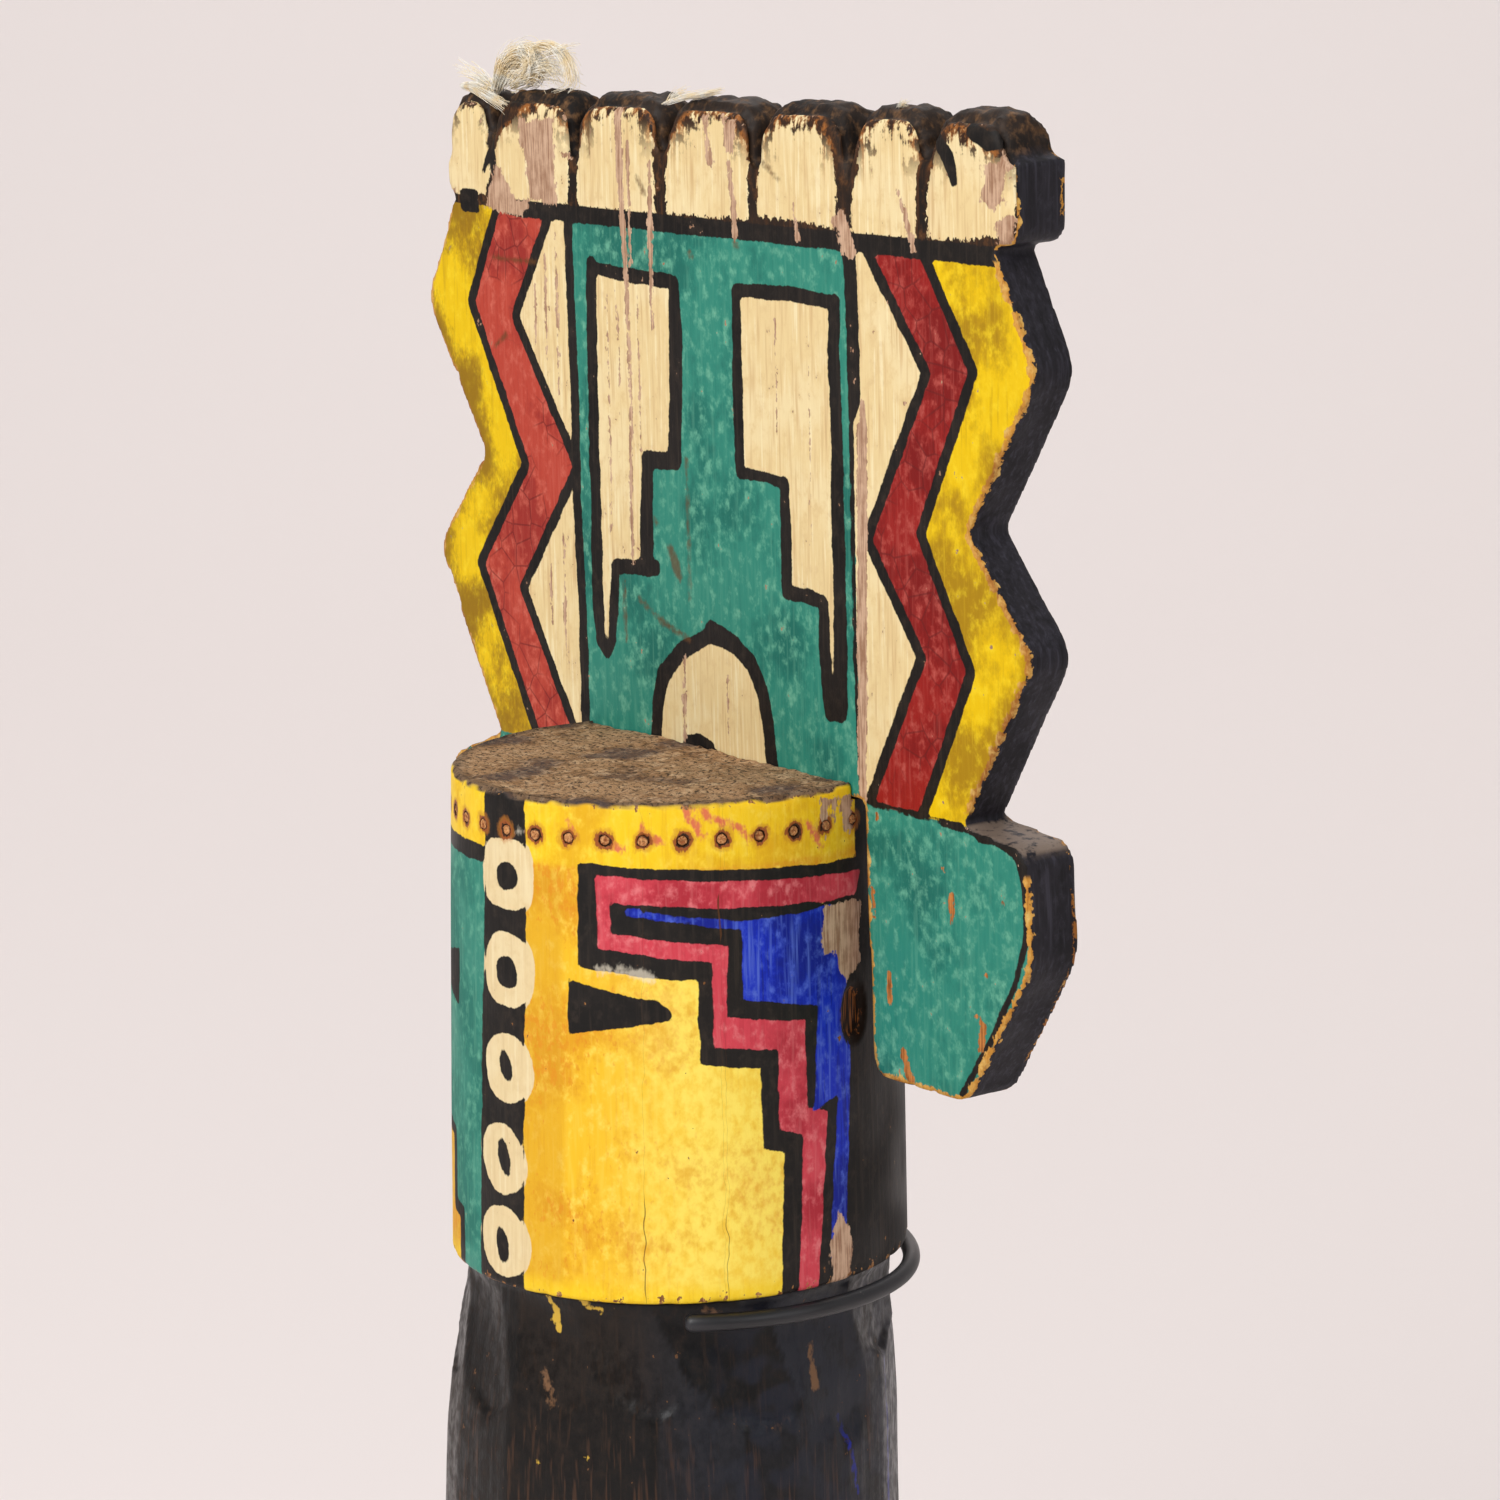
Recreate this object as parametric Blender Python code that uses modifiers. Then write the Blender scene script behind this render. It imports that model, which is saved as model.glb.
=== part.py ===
"""Prayer stick doll: a carved and painted stick with a board headdress, on a wire stand.

Metres, +Z up. The origin is at the middle of the stand plate's underside, and the face looks
along -Y. Heights named *_Z are measured from the underside of the head, and HEAD_BASE lifts
them to the row frame. Heights named *_RISE belong to the board and are measured from the top of
the head, where BOARD_BASE is.
"""
import math

import bmesh
import bpy

CLEARANCE = 0.0003
# How far a cutter runs on past the surface that it opens.
OVERRUN = 0.003

PLATE_SIDE = 0.120
PLATE_THICKNESS = 0.005
PLATE_EDGE = 0.0008

STICK_BELOW_HEAD = 0.250
HEAD_BASE = PLATE_THICKNESS + CLEARANCE + STICK_BELOW_HEAD

HEAD_TOP_RADIUS = 0.0403
HEAD_FOOT_RADIUS = 0.0418
HEAD_HEIGHT = 0.0896
BOARD_BASE = HEAD_BASE + HEAD_HEIGHT
HEAD_EDGE = 0.0008
NECK_RADIUS = 0.0392
NECK_DEPTH = 0.0085
SHOULDER_RADIUS = 0.0417
SHOULDER_DEPTH = 0.032
BODY_RADIUS = 0.0424
FOOT_RADIUS = 0.0418
FOOT_EDGE = 0.0015
BODY_RINGS = 9
STICK_SIDES = 72

# The stick is a natural branch: it tilts a little about the head's middle, and its own middle
# drifts further to the same side below the neck.
TILT = 0.0141
TILT_Z = 0.060
LEAN = 0.0022
LEAN_LENGTH = 0.025
LEAN_ANGLE = math.radians(-37.0)

SLOT_DEPTH = 0.0032

PEG_COUNT = 22
PEG_FIRST_ANGLE = math.radians(103.7)
PEG_STEP = math.radians(9.7)
PEG_BELOW_TOP = 0.0066
PEG_Z = HEAD_HEIGHT - PEG_BELOW_TOP
PEG_RADIUS = 0.00095
PEG_LENGTH = 0.0058
PEG_PROUD = 0.0003
PEG_SIDES = 10

BOARD_FRONT = 0.0099
BOARD_THICKNESS = 0.0095
BAND_THICKNESS = 0.0108
BOARD_LAYERS = 6

# The plank's half width; the zigzag sides, the ears and the band are sawn in from it.
PLANK_HALF_WIDTH = 0.0898
ZIGZAG_TOP_INSET = 0.0110
ZIGZAG_UPPER_PEAK_INSET = 0.0
ZIGZAG_VALLEY_INSET = 0.0184
ZIGZAG_LOWER_PEAK_INSET = 0.0014
ZIGZAG_FOOT_INSET = 0.0204
ZIGZAG_UPPER_PEAK_RISE = 0.0754
ZIGZAG_VALLEY_RISE = 0.0474
ZIGZAG_LOWER_PEAK_RISE = 0.0277
PEAK_ROUNDING = 0.0045
VALLEY_ROUNDING = 0.0020

EAR_PLAY = 0.0007
EAR_INNER = max(HEAD_FOOT_RADIUS, HEAD_TOP_RADIUS) + EAR_PLAY
EAR_INSET = 0.0027
EAR_CORNER_INSET = 0.0038
EAR_BOTTOM_RISE = -0.0521
EAR_TIP_INSET = 0.0203
EAR_SLANT_TOP_RISE = -0.0250
EAR_INNER_FLARE = 0.0016
# How far the ear's top is below the board's foot: where it leaves the zigzag, and at its corner.
EAR_TOP_RIGHT = (0.0, 0.0018)
EAR_TOP_LEFT = (0.0036, 0.0100)
EAR_ROUNDING = 0.0040

BAND_BOTTOM_RISE = 0.0960
BAND_LEFT_INSET = 0.0089
BAND_RIGHT_INSET = 0.0045
BAND_LEFT = BAND_LEFT_INSET - PLANK_HALF_WIDTH
BAND_RIGHT = PLANK_HALF_WIDTH - BAND_RIGHT_INSET
BAND_ROUNDING = 0.0030
BAND_END_STEP = 0.0028
BAND_END_STEP_RISE = 0.1116
BAND_BACK_LIP = 0.0005
BAND_CORNER_LIFT = 0.0008

# Each valley between two lobes: its middle and the height of its floor.
VALLEYS = (
    (-0.0668, 0.1050),
    (-0.0402, 0.1053),
    (-0.0128, 0.1076),
    (0.0144, 0.1063),
    (0.0405, 0.1049),
    (0.0615, 0.1099),
)
VALLEY_FLOOR = 0.0020
LOBE_CREST_LEFT_RISE = 0.1161
LOBE_CREST_RIGHT_RISE = 0.1187
LOBE_LEFT_SHOULDER = (0.0066, 0.0085)
LOBE_RIGHT_SHOULDER = (0.0050, 0.0062)
LOBE_DOME = 0.0020
DOME_START_RISE = 0.1094
SHOULDER_STEPS = 5

TUFT_FROM_VALLEY = 0.0078
TUFT_CENTRE_X = VALLEYS[0][0] + TUFT_FROM_VALLEY
TUFT_LENGTH = 0.0120
TUFT_DEPTH = 0.0038
TUFT_HEIGHT = 0.0046
TUFT_ROOT_DROP = 0.0050
TUFT_LIFT = 0.0008

WIRE_RADIUS = 0.0016
RING_PLAY = 0.0015
RING_RADIUS = NECK_RADIUS + RING_PLAY + WIRE_RADIUS
RING_Z = -0.0044
RING_TILT = 0.018
RING_OPENING = math.radians(56.0)
RING_STEP = math.radians(6.0)
ROD_ANGLE = math.radians(189.0)
ROD_RADIUS = 0.0032
ROD_TOP_Z = 0.0006
ROD_SIDES = 20

COLLECTION = "prayer_stick_doll"
CUTTERS = "cutters"


def clear_scene():
    for thing in list(bpy.data.objects):
        bpy.data.objects.remove(thing, do_unlink=True)


def collection(name):
    group = bpy.data.collections.new(name)
    bpy.context.scene.collection.children.link(group)
    return group


def finish(name, colour, roughness, metallic=0.0):
    material = bpy.data.materials.new(name)
    material.use_nodes = True
    shader = material.node_tree.nodes["Principled BSDF"]
    shader.inputs["Base Color"].default_value = (*colour, 1.0)
    shader.inputs["Roughness"].default_value = roughness
    shader.inputs["Metallic"].default_value = metallic
    return material


def add_object(name, mesh, group, material=None):
    thing = bpy.data.objects.new(name, mesh)
    group.objects.link(thing)
    if material:
        mesh.materials.clear()
        mesh.materials.append(material)
    return thing


def mesh_of(thing, name):
    """The thing's evaluated shape in world space as a welded mesh; the thing itself is removed."""
    bpy.context.view_layer.update()
    evaluated = thing.evaluated_get(bpy.context.evaluated_depsgraph_get())
    mesh = bpy.data.meshes.new_from_object(evaluated)
    mesh.name = name
    mesh.transform(thing.matrix_world)
    shape = bmesh.new()
    shape.from_mesh(mesh)
    bmesh.ops.remove_doubles(shape, verts=shape.verts, dist=0.000001)
    bmesh.ops.recalc_face_normals(shape, faces=shape.faces)
    shape.to_mesh(mesh)
    shape.free()
    bpy.data.objects.remove(thing, do_unlink=True)
    return mesh


def smooth(mesh, sharp_angle=math.radians(35.0)):
    mesh.shade_smooth()
    mesh.set_sharp_from_angle(angle=sharp_angle)


def cutter(name, mesh, group):
    thing = add_object(name, mesh, group)
    thing.hide_render = True
    thing.display_type = "WIRE"
    return thing


def cut(thing, tool):
    boolean = thing.modifiers.new(tool.name, "BOOLEAN")
    boolean.operation = "DIFFERENCE"
    boolean.object = tool


def box_mesh(name, low, high):
    shape = bmesh.new()
    bmesh.ops.create_cube(shape, size=1.0)
    for vert in shape.verts:
        vert.co = [a + (b - a) * (c + 0.5) for a, b, c in zip(low, high, vert.co)]
    mesh = bpy.data.meshes.new(name)
    shape.to_mesh(mesh)
    shape.free()
    return mesh


def rounded_outline(corners, steps=4):
    """Corners as (x, z, rounding): each rounded one becomes a short curve between its two sides."""
    points = []
    count = len(corners)
    for index, (x, z, rounding) in enumerate(corners):
        if rounding <= 0:
            points.append((x, z))
            continue
        before = corners[index - 1]
        after = corners[(index + 1) % count]
        ends = []
        for other in (before, after):
            length = math.hypot(other[0] - x, other[1] - z)
            reach = min(rounding, 0.45 * length) / length
            ends.append((x + (other[0] - x) * reach, z + (other[1] - z) * reach))
        for step in range(steps + 1):
            t = step / steps
            a, b, c = (1 - t) ** 2, 2 * t * (1 - t), t ** 2
            curve_x = a * ends[0][0] + b * x + c * ends[1][0]
            curve_z = a * ends[0][1] + b * z + c * ends[1][1]
            points.append((curve_x, curve_z))
    return points


def lean(z):
    """Where the stick's middle is at height z (from the head's underside)."""
    drift = TILT * (TILT_Z - z) + LEAN * (1 - math.exp(min(z, 0.0) / LEAN_LENGTH))
    return drift * math.sin(LEAN_ANGLE), -drift * math.cos(LEAN_ANGLE)


def head_radius(z):
    return HEAD_FOOT_RADIUS + (HEAD_TOP_RADIUS - HEAD_FOOT_RADIUS) * z / HEAD_HEIGHT


def stick_profile():
    """Radius and height from the top of the head to the sawn foot."""
    points = [(0.0, HEAD_HEIGHT), (HEAD_TOP_RADIUS - HEAD_EDGE, HEAD_HEIGHT)]
    between = [share * HEAD_HEIGHT for share in (0.75, 0.5, 0.25)]
    points += [(head_radius(z), z) for z in (HEAD_HEIGHT - HEAD_EDGE, *between, HEAD_EDGE)]
    points += [(HEAD_FOOT_RADIUS - HEAD_EDGE, 0.0), (NECK_RADIUS, -HEAD_EDGE)]
    points += [(NECK_RADIUS, -NECK_DEPTH)]
    points += [((NECK_RADIUS + 1.6 * SHOULDER_RADIUS) / 2.6, -(NECK_DEPTH + SHOULDER_DEPTH) / 2)]
    points += [(SHOULDER_RADIUS, -SHOULDER_DEPTH)]
    foot = -STICK_BELOW_HEAD
    for ring in range(1, BODY_RINGS + 1):
        share = ring / BODY_RINGS
        radius = BODY_RADIUS + (FOOT_RADIUS - BODY_RADIUS) * share ** 2
        points.append((radius, -SHOULDER_DEPTH + (foot + FOOT_EDGE + SHOULDER_DEPTH) * share))
    points += [(FOOT_RADIUS - FOOT_EDGE, foot), (0.0, foot)]
    return points


def carved_stick(group, material):
    """Head, neck and body are one piece of wood, turned from its profile and then bent."""
    profile = stick_profile()
    links = [(i, i + 1) for i in range(len(profile) - 1)]
    mesh = bpy.data.meshes.new("stick_profile")
    mesh.from_pydata([(radius, 0.0, z) for radius, z in profile], links, [])
    blank = add_object("stick_blank", mesh, group)
    screw = blank.modifiers.new("turned", "SCREW")
    screw.axis = "Z"
    screw.steps = STICK_SIDES
    screw.render_steps = STICK_SIDES
    screw.use_merge_vertices = True
    screw.merge_threshold = 0.00001
    turned = mesh_of(blank, "carved_stick")
    for vert in turned.vertices:
        x, y = lean(vert.co.z)
        vert.co.x += x
        vert.co.y += y
        vert.co.z += HEAD_BASE
    smooth(turned)
    return add_object("carved_stick", turned, group, material)


def headdress_slot(group):
    """The slot across the top of the head that the board stands in."""
    reach = HEAD_FOOT_RADIUS + OVERRUN
    low = (-reach, BOARD_FRONT - CLEARANCE, BOARD_BASE - SLOT_DEPTH)
    high = (reach, BOARD_FRONT + BOARD_THICKNESS + CLEARANCE, BOARD_BASE + OVERRUN)
    return cutter("headdress_slot", box_mesh("headdress_slot", low, high), group)


def radial_pin(shape, angle, radius, inner, outer, sides):
    """One cylinder lying along the head's radius at this angle, from inner to outer."""
    made = bmesh.ops.create_cone(
        shape, cap_ends=True, segments=sides, radius1=radius, radius2=radius, depth=outer - inner)
    middle_x, middle_y = lean(PEG_Z)
    for vert in made["verts"]:
        x, y, z = vert.co
        out = z + (inner + outer) / 2
        vert.co = (
            middle_x + out * math.sin(angle) + x * math.cos(angle),
            middle_y - out * math.cos(angle) + x * math.sin(angle),
            HEAD_BASE + PEG_Z + y)


def peg_angles():
    return [PEG_FIRST_ANGLE - PEG_STEP * index for index in range(PEG_COUNT)]


def peg_holes(group):
    shape = bmesh.new()
    face = head_radius(PEG_Z)
    bottom = face - PEG_LENGTH - CLEARANCE
    for angle in peg_angles():
        radial_pin(shape, angle, PEG_RADIUS + CLEARANCE, bottom, face + OVERRUN, PEG_SIDES)
    mesh = bpy.data.meshes.new("peg_holes")
    shape.to_mesh(mesh)
    shape.free()
    return cutter("peg_holes", mesh, group)


def rim_pegs(group, material):
    """Broken-off twig ends that fill the holes drilled round the rim of the head."""
    face = head_radius(PEG_Z)
    for index, angle in enumerate(peg_angles(), start=1):
        shape = bmesh.new()
        radial_pin(shape, angle, PEG_RADIUS, face - PEG_LENGTH, face + PEG_PROUD, PEG_SIDES)
        mesh = bpy.data.meshes.new(f"rim_peg_{index:02d}")
        shape.to_mesh(mesh)
        shape.free()
        smooth(mesh)
        add_object(mesh.name, mesh, group, material)


def quarter(start, end, upward):
    """A quarter ellipse between two points; it leaves start upright when upward, else level."""
    points = []
    for step in range(SHOULDER_STEPS + 1):
        turn = math.pi / 2 * step / SHOULDER_STEPS
        across, along = math.sin(turn), 1 - math.cos(turn)
        if upward:
            across, along = 1 - math.cos(turn), math.sin(turn)
        points.append((start[0] + (end[0] - start[0]) * across, start[1] + (end[1] - start[1]) * along))
    return points


def crest(x):
    share = (x - BAND_LEFT) / (BAND_RIGHT - BAND_LEFT)
    return LOBE_CREST_LEFT_RISE + (LOBE_CREST_RIGHT_RISE - LOBE_CREST_LEFT_RISE) * share


def lobe_row():
    """The scalloped top of the band, from its left end to its right end."""
    right_end = BAND_RIGHT - BAND_END_STEP
    starts = [(BAND_LEFT, crest(BAND_LEFT) - LOBE_LEFT_SHOULDER[1])]
    starts += [(x + VALLEY_FLOOR / 2, z) for x, z in VALLEYS]
    ends = [(x - VALLEY_FLOOR / 2, z) for x, z in VALLEYS]
    ends += [(right_end, BAND_END_STEP_RISE)]
    points = []
    for (x0, z0), (x1, z1) in zip(starts, ends):
        wide, high = LOBE_LEFT_SHOULDER
        points.append((x0, z0))
        points += quarter((x0, crest(x0) - high), (x0 + wide, crest(x0 + wide)), upward=True)
        wide, high = LOBE_RIGHT_SHOULDER
        points += quarter((x1 - wide, crest(x1 - wide)), (x1, crest(x1) - high), upward=False)
        points.append((x1, z1))
    return points[1:]


def side_corners(side, ear_top):
    """One side of the board from the band down to the head, as rounded corners; side is 1 or -1."""
    foot = -SLOT_DEPTH
    ledge, corner = ear_top
    sawn = [
        (ZIGZAG_TOP_INSET, BAND_BOTTOM_RISE, 0.0),
        (ZIGZAG_UPPER_PEAK_INSET, ZIGZAG_UPPER_PEAK_RISE, PEAK_ROUNDING),
        (ZIGZAG_VALLEY_INSET, ZIGZAG_VALLEY_RISE, VALLEY_ROUNDING),
        (ZIGZAG_LOWER_PEAK_INSET, ZIGZAG_LOWER_PEAK_RISE, PEAK_ROUNDING),
        (ZIGZAG_FOOT_INSET, foot - ledge, 0.0),
        (EAR_CORNER_INSET, foot - corner, EAR_ROUNDING),
        (EAR_INSET, EAR_SLANT_TOP_RISE, EAR_ROUNDING),
        (EAR_TIP_INSET, EAR_BOTTOM_RISE, EAR_ROUNDING),
    ]
    corners = [(side * (PLANK_HALF_WIDTH - inset), z, rounding) for inset, z, rounding in sawn]
    corners += [(side * (EAR_INNER + EAR_INNER_FLARE), EAR_BOTTOM_RISE, EAR_ROUNDING)]
    corners += [(side * EAR_INNER, foot + CLEARANCE, 0.0)]
    return corners


def board_outline():
    corners = side_corners(1, EAR_TOP_RIGHT)
    corners += list(reversed(side_corners(-1, EAR_TOP_LEFT)))
    corners += [(BAND_LEFT, BAND_BOTTOM_RISE + BAND_CORNER_LIFT, BAND_ROUNDING)]
    corners += [(x, z, 0.0) for x, z in lobe_row()]
    corners += [(BAND_RIGHT, BAND_END_STEP_RISE - BAND_END_STEP / 2, 0.0)]
    corners += [(BAND_RIGHT, BAND_BOTTOM_RISE + BAND_CORNER_LIFT, BAND_ROUNDING)]
    return rounded_outline(corners)


def dome(mesh):
    """Lower the lobes' tops towards the front and back, so that each one is rounded over."""
    middle = BOARD_FRONT + BAND_THICKNESS / 2
    for vert in mesh.vertices:
        height = vert.co.z - BOARD_BASE
        share = (height - DOME_START_RISE) / (LOBE_CREST_LEFT_RISE - DOME_START_RISE)
        share = min(max(share, 0.0), 1.0)
        off = (vert.co.y - middle) / (BAND_THICKNESS / 2)
        vert.co.z -= LOBE_DOME * share * off ** 2


def tableta_board(group, material):
    """The flat headdress board with its two ears, sawn from one plank."""
    outline = board_outline()
    curve = bpy.data.curves.new("tableta_outline", "CURVE")
    curve.dimensions = "2D"
    curve.fill_mode = "BOTH"
    curve.extrude = BAND_THICKNESS / 2
    spline = curve.splines.new("POLY")
    spline.points.add(len(outline) - 1)
    for point, (x, z) in zip(spline.points, outline):
        point.co = (x, z, 0.0, 1.0)
    spline.use_cyclic_u = True
    blank = add_object("tableta_blank", curve, group)
    blank.rotation_euler = (math.pi / 2, 0.0, 0.0)
    blank.location = (0.0, BOARD_FRONT + BAND_THICKNESS / 2, BOARD_BASE)
    mesh = mesh_of(blank, "tableta_board")
    shape = bmesh.new()
    shape.from_mesh(mesh)
    for layer in range(1, BOARD_LAYERS):
        y = BOARD_FRONT + BAND_THICKNESS * layer / BOARD_LAYERS
        everything = shape.verts[:] + shape.edges[:] + shape.faces[:]
        bmesh.ops.bisect_plane(
            shape, geom=everything, plane_co=(0, y, 0), plane_no=(0, 1, 0), dist=0.000001)
    shape.to_mesh(mesh)
    shape.free()
    dome(mesh)
    smooth(mesh)
    return add_object("tableta_board", mesh, group, material)


def board_back_cut(group):
    """Between the ears and the band the back of the board is planed thinner."""
    reach = PLANK_HALF_WIDTH + OVERRUN
    low = (-reach, BOARD_FRONT + BOARD_THICKNESS, BOARD_BASE - SLOT_DEPTH + CLEARANCE / 2)
    high = (reach, BOARD_FRONT + BAND_THICKNESS + OVERRUN, BOARD_BASE + BAND_BOTTOM_RISE + BAND_BACK_LIP)
    return cutter("board_back_cut", box_mesh("board_back_cut", low, high), group)


def down_tuft(group, material):
    """What is left of a downy feather: its root is in the first valley, and it lies on the lobe."""
    shape = bmesh.new()
    bmesh.ops.create_uvsphere(shape, u_segments=16, v_segments=10, radius=1.0)
    middle = BOARD_BASE + crest(TUFT_CENTRE_X) + TUFT_LIFT + TUFT_HEIGHT
    for vert in shape.verts:
        x, y, z = vert.co
        root = max(-x, 0.0) ** 3
        vert.co = (
            TUFT_CENTRE_X + TUFT_LENGTH * x,
            BOARD_FRONT + BAND_THICKNESS / 2 + TUFT_DEPTH * y,
            middle + TUFT_HEIGHT * z - TUFT_ROOT_DROP * root)
    mesh = bpy.data.meshes.new("down_tuft")
    shape.to_mesh(mesh)
    shape.free()
    smooth(mesh)
    return add_object("down_tuft", mesh, group, material)


def ring_point(angle, radius):
    """A point on the cradle ring's plane; the ring follows the stick's lean half the way."""
    middle_x, middle_y = lean(RING_Z)
    rise = RING_TILT * radius * (1 + math.cos(angle))
    return (
        0.5 * middle_x + radius * math.sin(angle),
        0.5 * middle_y - radius * math.cos(angle),
        HEAD_BASE + RING_Z + rise)


def cradle_wire(group, material):
    """The bent wire that holds the neck; it is open at the front."""
    turn = 2 * math.pi - 2 * RING_OPENING
    count = round(turn / RING_STEP) + 1
    curve = bpy.data.curves.new("cradle_wire", "CURVE")
    curve.dimensions = "3D"
    curve.bevel_depth = WIRE_RADIUS
    curve.bevel_resolution = 2
    curve.use_fill_caps = True
    spline = curve.splines.new("POLY")
    spline.points.add(count - 1)
    for index, point in enumerate(spline.points):
        angle = RING_OPENING + turn * index / (count - 1)
        point.co = (*ring_point(angle, RING_RADIUS), 1.0)
    wire = add_object("cradle_wire_path", curve, group)
    mesh = mesh_of(wire, "cradle_wire")
    smooth(mesh)
    return add_object("cradle_wire", mesh, group, material)


def stand_rod(group, material):
    """The upright behind the stick; the cradle wire is joined to its top."""
    bottom = PLATE_THICKNESS + CLEARANCE
    length = HEAD_BASE + ROD_TOP_Z - bottom
    bpy.ops.mesh.primitive_cylinder_add(vertices=ROD_SIDES, radius=ROD_RADIUS, depth=length)
    rod = bpy.context.active_object
    rod.name = "stand_rod"
    rod.data.name = "stand_rod"
    for owner in list(rod.users_collection):
        owner.objects.unlink(rod)
    group.objects.link(rod)
    x, y, _ = ring_point(ROD_ANGLE, RING_RADIUS + WIRE_RADIUS + CLEARANCE + ROD_RADIUS)
    rod.location = (x, y, bottom + length / 2)
    rod.data.materials.append(material)
    smooth(rod.data)
    return rod


def stand_plate(group, material):
    half = PLATE_SIDE / 2
    mesh = box_mesh("stand_plate", (-half, -half, 0.0), (half, half, PLATE_THICKNESS))
    plate = add_object("stand_plate", mesh, group, material)
    bevel = plate.modifiers.new("broken edges", "BEVEL")
    bevel.width = PLATE_EDGE
    bevel.segments = 2
    return plate


def main():
    clear_scene()
    parts = collection(COLLECTION)
    tools = collection(CUTTERS)
    black_paint = finish("black painted wood", (0.020, 0.018, 0.017), 0.62)
    board_paint = finish("painted board", (0.045, 0.230, 0.190), 0.60)
    twig = finish("twig wood", (0.260, 0.110, 0.035), 0.80)
    down = finish("feather down", (0.760, 0.680, 0.520), 0.95)
    steel = finish("blackened steel", (0.018, 0.018, 0.019), 0.38, 0.6)
    stick = carved_stick(parts, black_paint)
    cut(stick, headdress_slot(tools))
    cut(stick, peg_holes(tools))
    rim_pegs(parts, twig)
    board = tableta_board(parts, board_paint)
    cut(board, board_back_cut(tools))
    down_tuft(parts, down)
    cradle_wire(parts, steel)
    stand_rod(parts, steel)
    stand_plate(parts, steel)


main()
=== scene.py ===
# %% [markdown]
# # A prayer stick doll in its wire stand
#
# The real object is one thick stick of soft, light wood. Its upper end is the doll's round head,
# a flat board stands in a slot across the top of the head, broken twig ends fill a row of holes
# under the rim, and a shred of feather down has stayed on the board. A black wire ring on an
# upright rod holds it at the neck.
#
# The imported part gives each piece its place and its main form. This scene adds what a saw, a
# knife, a brush and many years have done to them.

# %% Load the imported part
import math
import random

import bmesh
import bpy
import numpy as np
from mathutils import Matrix, Vector
from mathutils.kdtree import KDTree


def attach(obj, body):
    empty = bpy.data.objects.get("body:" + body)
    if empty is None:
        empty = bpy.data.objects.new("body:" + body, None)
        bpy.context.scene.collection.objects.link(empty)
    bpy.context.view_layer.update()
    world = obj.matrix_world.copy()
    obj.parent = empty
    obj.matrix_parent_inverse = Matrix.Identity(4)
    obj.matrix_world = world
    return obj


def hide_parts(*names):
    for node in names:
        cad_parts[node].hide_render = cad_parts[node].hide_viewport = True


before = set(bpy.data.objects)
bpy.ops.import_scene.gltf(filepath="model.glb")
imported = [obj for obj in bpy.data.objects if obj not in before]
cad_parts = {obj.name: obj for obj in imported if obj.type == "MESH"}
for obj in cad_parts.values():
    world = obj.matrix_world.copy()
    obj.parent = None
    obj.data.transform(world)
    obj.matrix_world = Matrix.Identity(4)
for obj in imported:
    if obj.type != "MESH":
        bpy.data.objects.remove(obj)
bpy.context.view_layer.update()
print("loaded", len(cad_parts), "CAD nodes")

# %% [markdown]
# ## Sizes
#
# All drawing is done in millimetres. Heights are counted from the underside of the head, so that
# a line on the head and a line on the board can be compared. HEAD_BASE is where that underside is
# above the surface that the stand is on.

# %% Sizes
HEAD_BASE = 255.3
HEAD_HEIGHT = 89.6
HEAD_TOP_RADIUS = 40.3
HEAD_FOOT_RADIUS = 41.8
HEAD_EDGE = 0.8
STICK_BELOW_HEAD = 250.0
TILT = 14.1
TILT_Z = 60.0
LEAN = 2.2
LEAN_LENGTH = 25.0
LEAN_ANGLE = math.radians(-37.0)
BOARD_FRONT = 9.9
DEGREE = math.radians(1.0) * 41.0


def lean(z):
    """Where the stick's middle is at height z: a natural branch is never quite straight."""
    drift = TILT * (TILT_Z - z) / 1000 + LEAN * (1 - np.exp(np.minimum(z, 0.0) / LEAN_LENGTH))
    return drift * math.sin(LEAN_ANGLE), -drift * math.cos(LEAN_ANGLE)


def head_radius(z):
    return HEAD_FOOT_RADIUS + (HEAD_TOP_RADIUS - HEAD_FOOT_RADIUS) * z / HEAD_HEIGHT


print("head", 2 * HEAD_FOOT_RADIUS, "mm across and", HEAD_HEIGHT, "mm high")

# %% [markdown]
# ## Uneven surfaces
#
# Hand work leaves swells, knife flats and raised grain. They come from one smooth random field: a
# random value at each corner of a lattice, with smooth passages between them. A lattice that is
# stretched along the stick gives wood fibres.

# %% A smooth random field
def lattice_value(cell, seed):
    mixed = (cell[:, 0] * 374761393 + cell[:, 1] * 668265263 + cell[:, 2] * 974634777 + seed * 1274126177)
    mixed = mixed & 0xFFFFFFFF
    mixed = ((mixed ^ (mixed >> 13)) * 1274126177) & 0xFFFFFFFF
    return ((mixed ^ (mixed >> 16)) & 0xFFFFFF) / 0x7FFFFF - 1.0


def swell(points, size, seed):
    """A value from -1 to 1 at each point, which changes over about size (mm, or one size per axis)."""
    scaled = points / np.asarray(size, float)
    cell = np.floor(scaled).astype(np.int64)
    part = scaled - cell
    part = part * part * (3 - 2 * part)
    total = np.zeros(len(points))
    for corner in range(8):
        step = np.array([corner & 1, corner >> 1 & 1, corner >> 2 & 1])
        weight = np.where(step == 1, part, 1 - part).prod(axis=1)
        total += weight * lattice_value(cell + step, seed)
    return total


def passage(value, start, end):
    """0 up to start and 1 from end, smooth between them."""
    share = np.clip((value - start) / (end - start), 0, 1)
    return share * share * (3 - 2 * share)


print("a swell at three places:", swell(np.array([[0.0, 0, 0], [4, 0, 0], [8, 0, 0]]), 10, 1).round(2))

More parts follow.
